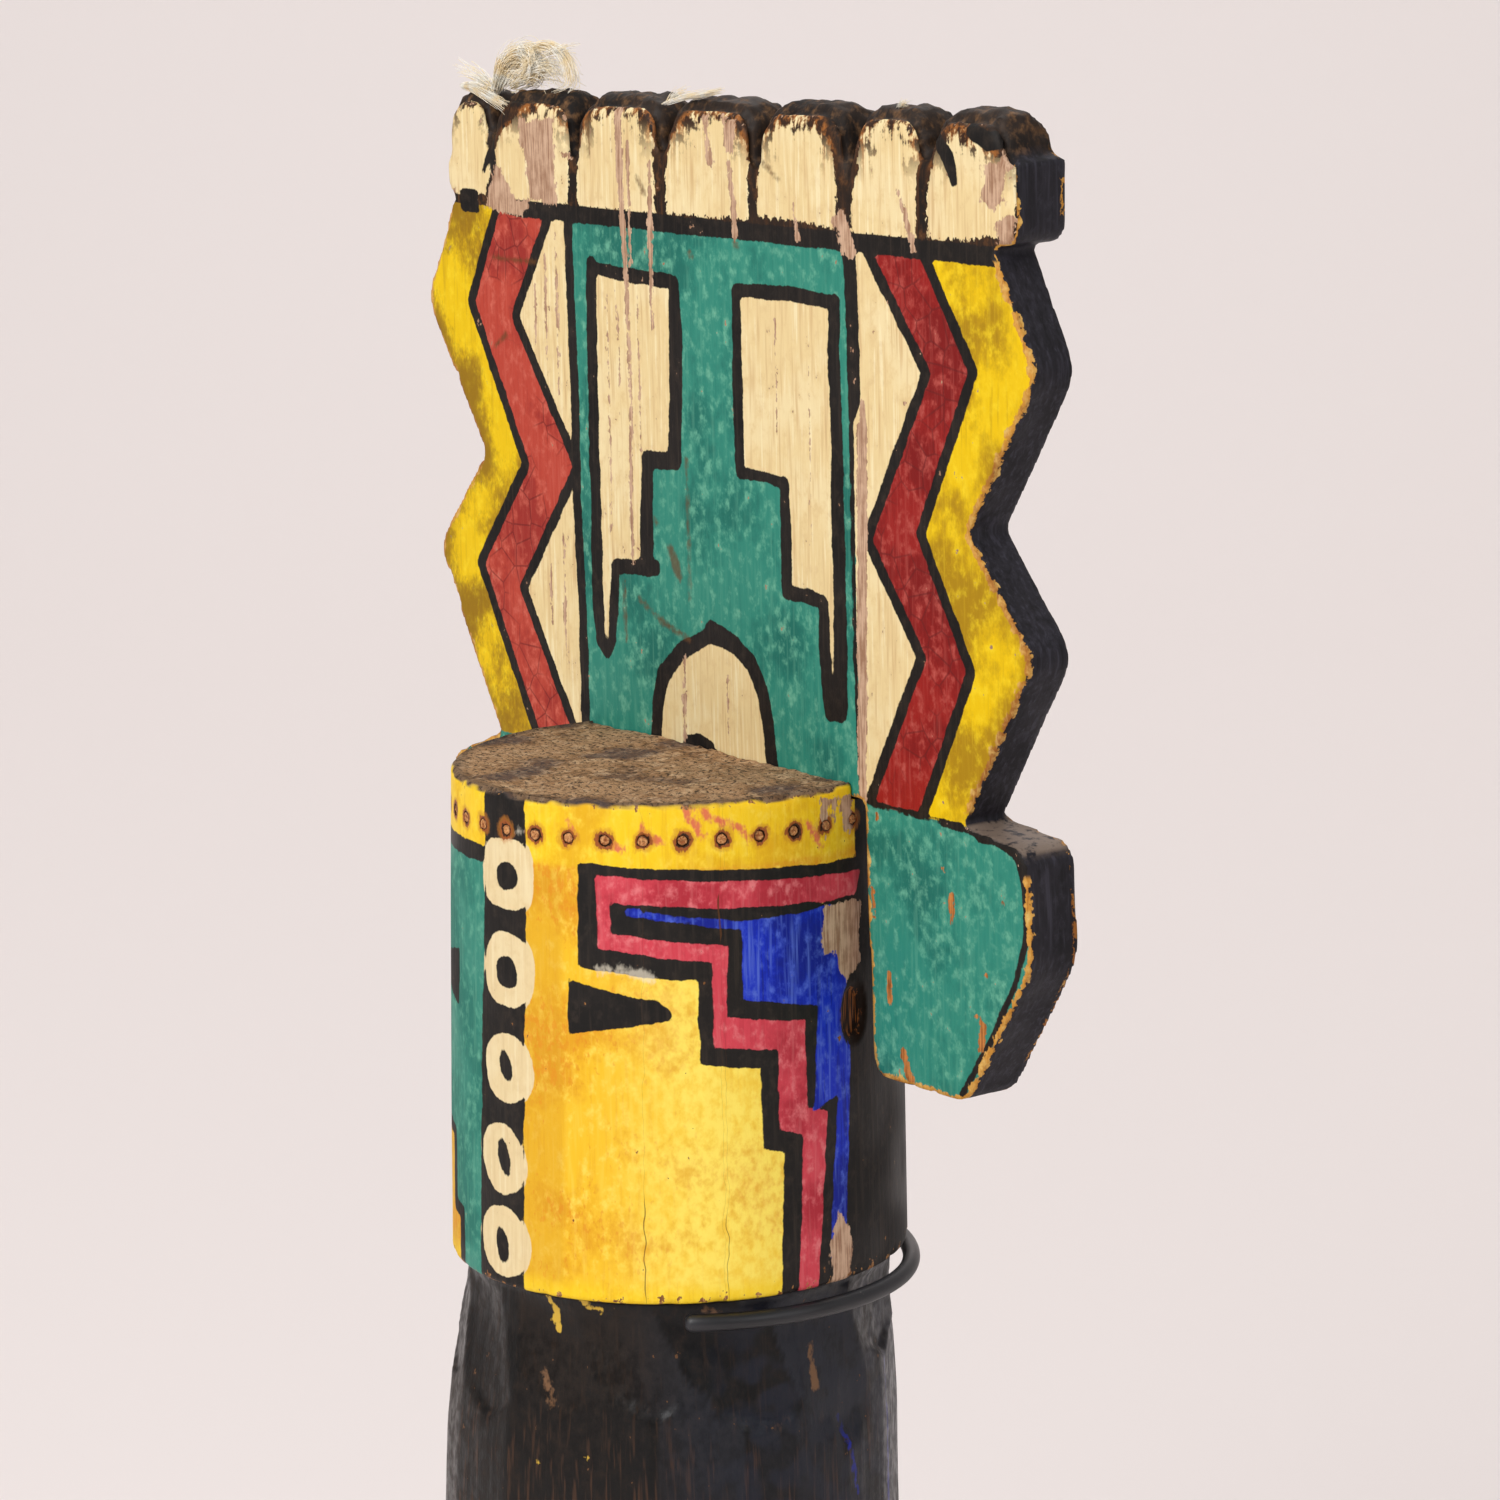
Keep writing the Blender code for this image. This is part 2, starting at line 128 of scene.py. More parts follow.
# %% [markdown]
# ## Drawing in millimetres
#
# The painter drew with a narrow brush. Each painted shape is stored on the mesh as the distance in
# mm to its edge, which is below zero inside the shape. A shader can then cut that distance where it
# likes, and can make the edge waver or crumble, so the paint has no pixels.

# %% Distances to brush strokes and areas
def stroke(x, z, points, width=0.0):
    """Distance to the edge of a brush stroke along points, which may have a third value for width."""
    best = np.full(len(x), 1e6)
    for first, second in zip(points[:-1], points[1:]):
        across, up = second[0] - first[0], second[1] - first[1]
        share = ((x - first[0]) * across + (z - first[1]) * up) / max(across ** 2 + up ** 2, 1e-9)
        share = np.clip(share, 0, 1)
        wide = width
        if len(first) == 3:
            wide = first[2] + (second[2] - first[2]) * share
        away = np.hypot(x - first[0] - share * across, z - first[1] - share * up) - wide / 2
        best = np.minimum(best, away)
    return best


def area(x, z, corners):
    """Distance to the edge of a filled shape, below zero inside it."""
    closed = list(corners) + [corners[0]]
    inside = np.zeros(len(x), bool)
    for (x0, z0), (x1, z1) in zip(closed[:-1], closed[1:]):
        if z0 != z1:
            crossing = (z0 > z) != (z1 > z)
            inside ^= crossing & (x < (x1 - x0) * (z - z0) / (z1 - z0) + x0)
    edge = stroke(x, z, closed)
    return np.where(inside, -edge, edge)


def egg(x, z, middle, half_width, half_height, squareness, tilt=0.0):
    """Distance to a rounded shape: squareness 2 is an ellipse and 4 nearly a square."""
    turn = math.radians(tilt)
    dx, dz = x - middle[0], z - middle[1]
    across = np.abs(dx * math.cos(turn) + dz * math.sin(turn)) / half_width
    up = np.abs(dz * math.cos(turn) - dx * math.sin(turn)) / half_height
    return ((across ** squareness + up ** squareness) ** (1 / squareness) - 1) * min(half_width, half_height)


def any_of(*distances):
    return np.minimum.reduce(distances)


def without(distance, *removed):
    for other in removed:
        distance = np.maximum(distance, -other)
    return distance


print("5 mm from a 2 mm line:", stroke(np.array([0.0]), np.array([5.0]), ((-9, 0), (9, 0)), 2.0)[0], "mm")

# %% [markdown]
# ## Meshes and their painted values
#
# Each piece could be a primitive that is pushed about with modifiers. Hand-made pieces are too
# uneven for that, so their points are worked out as arrays and handed to a mesh in one go, which
# is quick and keeps every face where it is wanted. Round pieces are rings of points, closed by a
# fan at each end.

# %% Make a mesh from rows of points
def build_mesh(name, points, *face_sets):
    """points in mm with z from the head's underside; each face set is an array of same-sided faces."""
    placed = (np.asarray(points, float) + (0, 0, HEAD_BASE)) / 1000
    corners = np.concatenate([np.asarray(faces).ravel() for faces in face_sets])
    sides = np.concatenate([np.full(len(faces), np.shape(faces)[1]) for faces in face_sets])
    mesh = bpy.data.meshes.new(name)
    mesh.vertices.add(len(placed))
    mesh.vertices.foreach_set("co", placed.astype(np.float32).ravel())
    mesh.loops.add(len(corners))
    mesh.loops.foreach_set("vertex_index", corners.astype(np.int32))
    mesh.polygons.add(len(sides))
    mesh.polygons.foreach_set("loop_start", np.concatenate([[0], np.cumsum(sides)[:-1]]).astype(np.int32))
    mesh.update(calc_edges=True)
    mesh.shade_smooth()
    return mesh


def grid_faces(rows, columns, closed=True):
    """Four-sided faces between neighbouring rows of a grid; closed joins the last column to the first."""
    last = columns if closed else columns - 1
    row, column = np.meshgrid(np.arange(rows - 1), np.arange(last), indexing="ij")
    beside = (column + 1) % columns
    start = row * columns
    corners = (start + column, start + beside, start + columns + beside, start + columns + column)
    return np.stack(corners, -1).reshape(-1, 4)


def closed_rings(name, rows, first, last, turned=False):
    """A mesh through rings of points with a fan to a point at each end; turned flips its faces."""
    sides = len(rows[0])
    count = len(rows) * sides
    ring = np.arange(sides)
    beside = (ring + 1) % sides
    first_fan = np.stack([np.full(sides, count), beside, ring], -1)
    last_fan = np.stack([np.full(sides, count + 1), count - sides + ring, count - sides + beside], -1)
    face_sets = (grid_faces(len(rows), sides), first_fan, last_fan)
    points = np.vstack(list(rows) + [[first], [last]])
    return build_mesh(name, points, *[faces[:, ::-1] if turned else faces for faces in face_sets])


print("a grid of 3 rings of 4 points has", len(grid_faces(3, 4)), "faces")


# %% [markdown]
# A shader reads what was worked out for a mesh from values stored on its points. They could be
# vertex colours, but plain numbers keep their full precision, which sharp paint edges need.

# %% Read a mesh, store values on it and put it in its place
def read_points(mesh):
    """A mesh's points in mm, with z from the head's underside, and their normals."""
    flat = np.empty(len(mesh.vertices) * 3, np.float32)
    mesh.vertices.foreach_get("co", flat)
    normals = np.empty_like(flat)
    mesh.vertices.foreach_get("normal", normals)
    points = flat.reshape(-1, 3).astype(float) * 1000 - (0, 0, HEAD_BASE)
    return points, normals.reshape(-1, 3).astype(float)


def move_points(mesh, points):
    placed = (points + (0, 0, HEAD_BASE)) / 1000
    mesh.vertices.foreach_set("co", placed.astype(np.float32).ravel())
    mesh.update()


def keep_values(mesh, **values):
    """Store each array on the mesh's points under its name, for the shader to read."""
    for name, array in values.items():
        stored = mesh.attributes.new(name, "FLOAT", "POINT")
        stored.data.foreach_set("value", np.asarray(array, np.float32))


def add_piece(name, mesh, slot, *nodes):
    """Put a finished mesh in the scene in place of the CAD nodes that it stands for."""
    piece = bpy.data.objects.new(name, mesh)
    bpy.context.scene.collection.objects.link(piece)
    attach(piece, "root")
    if nodes:
        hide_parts(*nodes)
    triangles = sum(len(face.vertices) - 2 for face in mesh.polygons)
    print(f"{name}: {len(mesh.vertices)} points, {triangles} triangles")
    return piece


print("pieces ride on the body named root")

# %% [markdown]
# ## The stick
#
# Head, neck and body are one branch. The head was left nearly as round as the branch, and below it
# a knife took a little off to make the neck, which leaves a row of slanting flats. The mesh is a
# lathe grid: rings of points from the middle of the top down to the sawn foot. Its rings are
# closest on the head, where the painting is.

# %% Rings of the stick
COLUMNS = 330
HEAD_STEP = 0.78
BODY_STEP = 2.5
KNIFE_ROW_END = -27.0
PROFILE_Z = (-250.0, -224.4, -152.0, -104.0, -56.0, -32.0, -20.25, -8.5, -0.8)
PROFILE_RADIUS = (41.8, 41.9, 42.2, 42.35, 42.4, 41.7, 40.74, 39.2, 39.2)


def stick_rings():
    """(radius, height) of every ring from the top's middle to the foot's middle."""
    rings = [(radius, HEAD_HEIGHT) for radius in np.linspace(1.2, HEAD_TOP_RADIUS - 1.0, 42)]
    for turn in np.radians((20, 45, 70)):
        rings.append((HEAD_TOP_RADIUS - 1.0 + math.sin(turn), HEAD_HEIGHT - 1.0 + math.cos(turn)))
    side = np.arange(HEAD_HEIGHT - 1.0, HEAD_EDGE, -HEAD_STEP)
    rings += [(head_radius(z), z) for z in side]
    for turn in np.radians((0, 35, 65)):
        inset = HEAD_EDGE * (1 - math.cos(turn))
        rings.append((HEAD_FOOT_RADIUS - inset, HEAD_EDGE * (1 - math.sin(turn))))
    rings += [(40.6, -0.15), (39.8, -0.5)]
    below = list(np.arange(-0.9, KNIFE_ROW_END, -1.1))
    below += list(np.arange(KNIFE_ROW_END - 2, -248.0, -BODY_STEP))
    rings += [(np.interp(z, PROFILE_Z, PROFILE_RADIUS), z) for z in below]
    rings += [(41.5, -249.2), (40.6, -249.9)]
    rings += [(radius, -STICK_BELOW_HEAD) for radius in np.linspace(39.5, 1.5, 12)]
    return np.array(rings)


rings = stick_rings()
angles = np.arange(COLUMNS) * 2 * math.pi / COLUMNS
ring_radius = np.repeat(rings[:, 0], COLUMNS)
ring_z = np.repeat(rings[:, 1], COLUMNS)
ring_angle = np.tile(angles, len(rings))
print("stick rings", len(rings), "of", COLUMNS, "points")

# %% [markdown]
# The neck was pared round and round with a knife, and the body more lightly. A flat could be cut
# with a boolean, but hundreds of them would be slow. Each is the chord of the circle that it cuts
# off, so its depth is worked out for every point, and its ends fade as a blade lifts out.

# %% Knife flats and raised grain on the stick
random_state = random.Random(11)
wide = np.stack([ring_radius * np.sin(ring_angle), -ring_radius * np.cos(ring_angle), ring_z], -1)
on_side = ring_radius > np.interp(ring_z, PROFILE_Z, PROFILE_RADIUS) - 2.2
on_side = on_side | ((ring_z > 0) & (ring_z < HEAD_HEIGHT - 0.01))
below_head = passage(-ring_z, 0.8, 3.0)


def flat_row(widths, low, high, slants, ends, share):
    """A row of flats round the stick, from height high down to about low; a flat leans by its slant."""
    row = []
    turn = random_state.uniform(0, 20)
    last = turn + 352
    while turn < last:
        width = math.radians(random_state.uniform(*widths))
        slant = random_state.uniform(*slants)
        bottom = low + random_state.uniform(*ends)
        tone = random_state.uniform(0, 1)
        middle = math.radians(turn) + width / 2
        row.append((middle, width, slant, bottom, high, (low + high) / 2, share, tone))
        turn += math.degrees(width)
    return row


FLATS = flat_row((14, 30), -22.0, -4.0, (-0.016, -0.006), (-10.0, 9.0), 1.3)
FLATS += flat_row((12, 30), -88.0, -18.0, (-0.002, 0.002), (-25.0, 25.0), 0.6)
FLATS += flat_row((16, 30), -248.0, -80.0, (-0.0006, 0.0006), (-4.0, 0.0), 0.45)


def flats_at(angle, z):
    """How deep the knife went at each place (mm), and the tone of the flat that it left there."""
    cut, tone = np.zeros(len(z)), np.zeros(len(z))
    for middle, width, slant, bottom, high, centre, share, shade in FLATS:
        off = np.angle(np.exp(1j * (angle - middle - slant * (z - centre))))
        flat = 1 - math.cos(width / 2) / np.cos(np.clip(off, -0.6, 0.6))
        flat = np.where(np.abs(off) < width / 2, flat, 0) * 41.0 * share
        end = bottom + 9.0 * np.abs(off) / width
        flat *= passage(z, end, end + 1.6) * (1 - passage(z, high, high + 3.0))
        tone = np.where(flat > cut, shade, tone)
        cut = np.maximum(cut, flat)
    return cut, tone


flats, _ = flats_at(ring_angle, ring_z)
carved = 0.16 * swell(wide, (16, 16, 30), 3) * on_side
carved += 0.22 * swell(wide, (24, 24, 60), 4) * below_head
fibre = swell(wide, (0.8, 0.8, 22), 5) + 0.6 * swell(wide, (1.7, 1.7, 40), 6)
carved += fibre * (0.015 + 0.055 * below_head) * on_side
carved -= flats
print("deepest flat", round(float(flats.max()), 2), "mm")

# %% [markdown]
# The wood has hair cracks from drying, drawn later with the paint, and an oval recess was cut into
# the side of the head. The top of the head is end grain with old glue and dust, rough like felt.

# %% The worn rim, the rough top and the split foot
HAIR_CRACKS = (
    (64.3, 64.6, 74.0, 0.16),
    (45.1, -1.0, 21.5, 0.09),
    (65.2, -1.0, 17.5, 0.06),
)
RECESS = ((103.0, 48.2), 3.4, 5.6)


def recess_distance(arc, z):
    (angle, middle), wide, tall = RECESS
    return egg(arc, z, (angle * DEGREE, middle), wide, tall, 2.2)


on_top = ring_z > HEAD_HEIGHT - 0.01
edge_wear = passage(np.abs(ring_z - HEAD_HEIGHT), 2.4, 0.2) * ~on_top
carved -= edge_wear * 0.5 * passage(swell(wide, 3.2, 8), -0.1, 0.8)
foot_wear = passage(np.abs(ring_z - 0.4), 1.5, 0.2)
carved -= foot_wear * 0.45 * passage(swell(wide, 2.6, 9), 0.0, 0.8)
signed_angle = np.degrees(np.arctan2(np.sin(ring_angle), np.cos(ring_angle)))
carved -= 1.3 * passage(recess_distance(signed_angle * DEGREE, ring_z), 0.1, -1.2) * on_side
lifted = np.zeros(len(wide))
felt = 0.24 * swell(wide, 1.2, 12) + 0.26 * swell(wide, 2.6, 14) + 0.3 * swell(wide, 8.0, 13)
lifted[on_top] = felt[on_top] - 0.25

new_radius = ring_radius + carved * on_side
drift_x, drift_y = lean(ring_z)
stick_points = np.stack([
    drift_x + new_radius * np.sin(ring_angle),
    drift_y - new_radius * np.cos(ring_angle),
    ring_z + lifted], -1)
top_x, top_y = lean(HEAD_HEIGHT)
foot_x, foot_y = lean(-STICK_BELOW_HEAD)
rows = stick_points.reshape(len(rings), COLUMNS, 3)
middle_top, middle_foot = (top_x, top_y, HEAD_HEIGHT - 0.2), (foot_x, foot_y, -STICK_BELOW_HEAD)
stick_mesh = closed_rings("stick", rows, middle_top, middle_foot, turned=True)
print("uncut stick:", len(stick_mesh.vertices), "points")

# %% [markdown]
# The slot for the board was sawn and the peg holes were drilled. Both are real openings, so here
# they are taken out with an exact boolean, which is slower than carving points but keeps the
# edges sharp where the rings of points run across them.

# %% Cut the slot and the peg holes
PEG_COUNT = 22
PEG_FIRST_ANGLE = 103.7
PEG_STEP = 9.7
PEG_Z = HEAD_HEIGHT - 6.6
PEG_RADIUS = 0.95
PEG_LENGTH = 5.8
SLOT_DEPTH = 3.2
SLOT_PLAY = 0.3
BOARD_THICKNESS = 9.5
OVERRUN = 3.0
HOLE_RADIUS = 1.06
HOLE_LENGTH = 9.1
HOLE_MIDDLE = 1.4
HOLE_SIDES = 14
peg_angles = [math.radians(PEG_FIRST_ANGLE - PEG_STEP * index) for index in range(PEG_COUNT)]


def along_radius(angle, radius, x, y):
    """The point at x (sideways) and y (up) from the peg's axis, at this radius."""
    middle_x, middle_y = lean(PEG_Z)
    return (
        middle_x + radius * math.sin(angle) + x * math.cos(angle),
        middle_y - radius * math.cos(angle) + x * math.sin(angle),
        PEG_Z + y)


def cutter_mesh():
    """The slot's block and the peg holes' round bars, all in one mesh."""
    shape = bmesh.new()
    top = HEAD_BASE + HEAD_HEIGHT
    made = bmesh.ops.create_cube(shape, size=1.0)
    corner = (-HEAD_FOOT_RADIUS - OVERRUN, BOARD_FRONT - SLOT_PLAY, top - SLOT_DEPTH)
    other = (HEAD_FOOT_RADIUS + OVERRUN, BOARD_FRONT + BOARD_THICKNESS + SLOT_PLAY, top + OVERRUN)
    for vert in made["verts"]:
        vert.co = [(a + (b - a) * (c + 0.5)) / 1000 for a, b, c in zip(corner, other, vert.co)]
    for angle in peg_angles:
        face = float(head_radius(PEG_Z))
        radius, length = HOLE_RADIUS / 1000, HOLE_LENGTH / 1000
        hole = bmesh.ops.create_cone(
            shape, cap_ends=True, segments=HOLE_SIDES, radius1=radius, radius2=radius, depth=length)
        for vert in hole["verts"]:
            x, y, z = [value * 1000 for value in vert.co]
            placed = along_radius(angle, face - HOLE_MIDDLE + z, x, y)
            vert.co = [value / 1000 for value in (placed[0], placed[1], placed[2] + HEAD_BASE)]
    mesh = bpy.data.meshes.new("cutter")
    shape.to_mesh(mesh)
    shape.free()
    return mesh


def cut_away(mesh, tool_mesh):
    """The mesh with the tool's volume taken out."""
    body = bpy.data.objects.new("uncut", mesh)
    tool = bpy.data.objects.new("tool", tool_mesh)
    for thing in (body, tool):
        bpy.context.scene.collection.objects.link(thing)
    boolean = body.modifiers.new("cut", "BOOLEAN")
    boolean.operation = "DIFFERENCE"
    boolean.solver = "EXACT"
    boolean.object = tool
    bpy.context.view_layer.update()
    evaluated = body.evaluated_get(bpy.context.evaluated_depsgraph_get())
    result = bpy.data.meshes.new_from_object(evaluated)
    for thing in (body, tool):
        bpy.data.objects.remove(thing, do_unlink=True)
    return result


stick_mesh = cut_away(stick_mesh, cutter_mesh())
stick_mesh.name = "painted_stick"
print("stick after cutting:", len(stick_mesh.vertices), "points")

# %% [markdown]
# ## What is painted on the head
#
# Round the head the painter worked in two halves: yellow to the viewer's right of a black middle
# band and turquoise to its left, with cream rings on the band. A stepped line in black, red and
# blue frames the face. Places on the head are an angle from the middle of the face and a height.

# %% The head's lines, in degrees and mm
BAND_LEFT = ((-2.7, 90.5), (-2.4, 78.0), (-3.0, 60.0), (-4.2, 42.0), (-4.9, 23.0), (-5.1, 5.0), (-5.1, -1.0))
BAND_RIGHT = (
    (12.1, -1.0), (12.1, 17.0), (12.3, 35.0), (12.8, 53.0), (13.4, 71.0), (13.5, 80.0), (12.6, 90.5))
RINGS = (
    ((6.3, 75.05), 8.7, 6.4, 3.2, 0.0),
    ((6.5, 57.85), 8.7, 6.7, 2.6, -4.0),
    ((6.1, 40.05), 8.5, 6.3, 2.2, 18.0),
    ((4.2, 23.25), 7.9, 6.5, 2.2, 20.0),
    ((4.7, 8.0), 8.9, 6.5, 2.1, 14.0),
)
PUPILS = (
    ((6.5, 74.6), 3.9, 2.5, 2.6, 12.0),
    ((6.2, 57.4), 4.0, 2.8, 2.4, 10.0),
    ((5.6, 40.4), 2.3, 2.9, 2.0, 20.0),
    ((5.0, 23.5), 2.1, 3.2, 2.0, 14.0),
    ((4.2, 7.5), 2.4, 3.3, 2.0, 12.0),
)
FRAME_OUTSIDE = (
    (28.8, 78.9), (28.6, 60.5), (31.8, 60.0), (58.4, 58.2), (58.9, 43.2), (73.9, 41.6), (74.4, 27.0),
    (80.0, 25.9), (78.9, -1.0), (150.0, -1.0), (150.0, 76.0), (106.5, 76.0))
RED_AREA = (
    (106.5, 73.7), (33.1, 76.9), (34.0, 64.0), (62.1, 61.3), (62.4, 46.1), (78.8, 44.6), (78.7, 30.0),
    (85.7, 28.5), (83.6, -1.0), (89.2, -1.0), (93.2, 31.6), (87.0, 33.2), (86.5, 49.0), (65.7, 51.3),
    (66.2, 64.1), (37.4, 66.6), (37.2, 72.1), (104.2, 69.3))
BLUE_AREA = (
    (40.7, 71.1), (69.3, 68.3), (95.0, 68.7), (98.5, 66.6), (100.8, 50.8), (101.2, 39.9), (99.9, 23.7),
    (98.7, 9.2), (93.7, 4.5), (94.0, 12.7), (96.6, 34.2), (89.1, 32.9), (90.5, 51.3), (70.0, 54.3),
    (69.5, 66.7), (41.2, 69.9))
RIGHT_EYE = ((25.9, 58.2), (26.0, 48.2), (52.2, 51.4), (52.0, 52.9), (48.1, 54.9), (38.2, 56.0))
LEFT_EYE = ((-18.2, 58.4), (-18.6, 47.6), (-43.5, 51.0), (-43.2, 52.8), (-30.0, 56.6))
LEFT_STEPS = (
    (-16.4, -1.0), (-17.0, 9.7), (-23.2, 10.2), (-24.0, 23.6), (-39.0, 24.4), (-39.6, 38.0), (-56.0, 38.8),
    (-56.8, 52.0), (-74.0, 52.8), (-74.6, 64.0), (-103.0, 65.0), (-103.0, -1.0))
PAINTED_FRONT = ((-103.0, -2.0), (-103.0, 93.0), (104.5, 93.0), (104.5, -2.0))
RIM_BOTTOM = ((-103.0, 79.4), (-24.0, 79.1), (24.0, 79.8), (75.0, 79.1), (92.0, 78.6), (104.5, 78.0))


UNDER_INK = 0.6


def on_head(points):
    """Angle and height as mm along the surface, so that distances are true there."""
    return [(point[0] * DEGREE, point[1]) for point in points]


def head_fields(arc, z):
    """Distance to the edge of each colour on the head, after all that is painted over it."""
    def shape(points):
        return area(arc, z, on_head(points))

    def egg_at(entry):
        (angle, height), wide, tall, squareness, tilt = entry
        return egg(arc, z, (angle * DEGREE, height), wide * DEGREE, tall, squareness, tilt)

    cream = any_of(*[egg_at(entry) for entry in RINGS])
    pupils = any_of(*[egg_at(entry) for entry in PUPILS])
    band = shape(BAND_LEFT + BAND_RIGHT)
    rim = shape(RIM_BOTTOM + ((104.5, 92.0), (-103.0, 92.0)))
    red = shape(RED_AREA)
    blue = shape(BLUE_AREA)
    frame_black = shape(FRAME_OUTSIDE)
    eyes = any_of(shape(RIGHT_EYE), shape(LEFT_EYE))
    steps = shape(LEFT_STEPS)
    left_line = stroke(arc, z, on_head(LEFT_STEPS[:-1]), 2.6)
    rim_line = stroke(arc, z, on_head(((-103.0, 77.6), (-30.0, 77.3), (-4.0, 77.6))), 3.2)
    back = without(np.full(len(arc), -1e3), shape(PAINTED_FRONT))
    black = any_of(band, frame_black, eyes, left_line, rim_line, back)
    black = without(black, cream, any_of(red, blue))
    black = any_of(black, pupils)
    black = without(black, without(rim, band))
    yellow = any_of(rim, steps, shape(BAND_RIGHT + ((12.6, 92.0), (150.0, 92.0), (150.0, -2.0))))
    colours = {"cream": cream, "red": red, "blue": blue, "yellow": yellow}
    return {"ink": black, **{name: distance - UNDER_INK for name, distance in colours.items()}}


print("steps of the frame:", len(FRAME_OUTSIDE), "corners")


# %% [markdown]
# Paint has been lost where the head was handled and where drips ran over it. The bare patches,
# stains and red smears are stored in the same way as the painted shapes.

# %% Losses, smears and stains on the head
BARE_PATCHES = (
    ((92.3, 69.1), (106.3, 68.1), (105.8, 57.3), (99.8, 53.7), (96.0, 60.5), (92.0, 59.2)),
    ((92.8, 7.4), (96.7, 13.2), (100.1, 8.9), (100.6, 0.5), (98.4, -1.1), (94.0, 0.0)),
    ((92.5, 88.0), (93.6, 80.4), (95.2, 88.4)),
    ((95.8, 87.5), (96.6, 80.8), (98.4, 88.6)),
    ((99.0, 88.0), (100.0, 81.5), (103.0, 80.5), (104.0, 88.0)),
)
RED_SMEARS = (
    ((59.6, 88.4), (62.0, 86.6), (65.8, 86.0)),
    ((44.9, 85.1), (47.0, 83.6), (49.8, 83.0)),
    ((55.7, 89.5), (58.0, 85.9), (60.5, 83.8)),
    ((87.4, 84.4), (90.2, 82.0), (92.0, 79.3)),
    ((36.0, 83.0), (40.0, 81.4)),
    ((69.0, 85.0), (72.0, 82.6), (76.0, 83.4)),
    ((26.0, 86.2), (27.6, 84.0)),
)
WHITE_MARKS = (
    ((34.5, 60.1), (40.0, 60.2), (47.0, 58.9)),
    ((10.8, 83.4), (11.2, 83.2)),
    ((6.8, 82.1), (7.2, 81.8)),
)
SPLASHES = (
    ((25.8, 0.9), (29.0, -1.4), (32.6, -2.5)),
    ((18.1, -5.0), (18.3, -5.6)),
    ((16.9, -1.3), (19.0, -3.6), (19.9, -6.9)),
    ((16.8, -30.4), (17.0, -31.0)),
    ((31.6, -29.2), (31.8, -29.8)),
)
BLUE_RUBS = (
    ((101.6, -25.9), (104.0, -34.0), (107.3, -43.0)),
    ((125.1, -20.0), (126.0, -32.1), (125.5, -60.0)),
    ((22.0, -44.0), (22.4, -52.0)),
    ((44.0, -41.0), (44.2, -50.0)),
)
RUBS = (
    ((16.7, -15.3), (18.9, -17.4), (20.1, -20.3)),
    ((60.2, -2.2), (63.0, -3.0)),
    ((92.0, -12.0), (93.0, -19.0)),
)


def nearest(arc, z, lines, width):
    """Distance to the nearest of several strokes on the head."""
    return any_of(*[stroke(arc, z, on_head(line), width) for line in lines])


points, normals = read_points(stick_mesh)
drift_x, drift_y = lean(points[:, 2])
from_axis = np.hypot(points[:, 0] - drift_x, points[:, 1] - drift_y)
degrees = np.degrees(np.arctan2(points[:, 0] - drift_x, -(points[:, 1] - drift_y)))
arc = degrees * DEGREE
height = points[:, 2]
fields = head_fields(arc, height)
peg_arcs = [(math.degrees(angle) * DEGREE, PEG_Z) for angle in peg_angles]
peg_near = any_of(*[np.hypot(arc - x, height - z) for x, z in peg_arcs])
keep_values(
    stick_mesh, **fields,
    bare=any_of(*[area(arc, height, on_head(patch)) for patch in BARE_PATCHES]),
    smear=nearest(arc, height, RED_SMEARS, 1.1),
    peg=peg_near,
    recess=recess_distance(arc, height),
    white=nearest(arc, height, WHITE_MARKS, 1.4),
    splash=nearest(arc, height, SPLASHES, 1.2),
    rub=nearest(arc, height, RUBS, 1.5),
    blue_rub=nearest(arc, height, BLUE_RUBS, 1.0),
    from_axis=from_axis,
    height=height,
    tone=flats_at(np.radians(degrees), height)[1],
    degrees=degrees)
print("painted fields on the stick:", ", ".join(sorted(fields)))
stick = add_piece("painted_stick", stick_mesh, "painted_stick", "carved_stick")

# %% [markdown]
# ## The headdress board
#
# It was sawn from a thin plank and its edges were rounded with a knife. The CAD solid is turned
# into an even net of small faces, which rounds its edges a little and gives the paint and the
# carving enough points.

# %% An even net over the board
BOARD_NET = 0.85


def even_net(node, size):
    """The CAD node's solid as an even mesh with faces about size (mm) wide."""
    shape = bmesh.new()
    shape.from_mesh(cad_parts[node].data)
    bmesh.ops.remove_doubles(shape, verts=shape.verts, dist=0.000002)
    welded = bpy.data.meshes.new("welded")
    shape.to_mesh(welded)
    shape.free()
    blank = bpy.data.objects.new("blank", welded)
    bpy.context.scene.collection.objects.link(blank)
    remesh = blank.modifiers.new("net", "REMESH")
    remesh.mode = "VOXEL"
    remesh.voxel_size = size / 1000
    bpy.context.view_layer.update()
    evaluated = blank.evaluated_get(bpy.context.evaluated_depsgraph_get())
    net = bpy.data.meshes.new_from_object(evaluated)
    bpy.data.objects.remove(blank, do_unlink=True)
    net.materials.clear()
    net.shade_smooth()
    return net


board_mesh = even_net("tableta_board", BOARD_NET)
board_mesh.name = "headdress_board"
points, normals = read_points(board_mesh)
print("board net:", len(points), "points")

# %% [markdown]
# Every painted edge of the board depends on how far a place is from the board's outline: paint
# chips along the rim first. The distance is measured to the nearest point of the sawn sides.

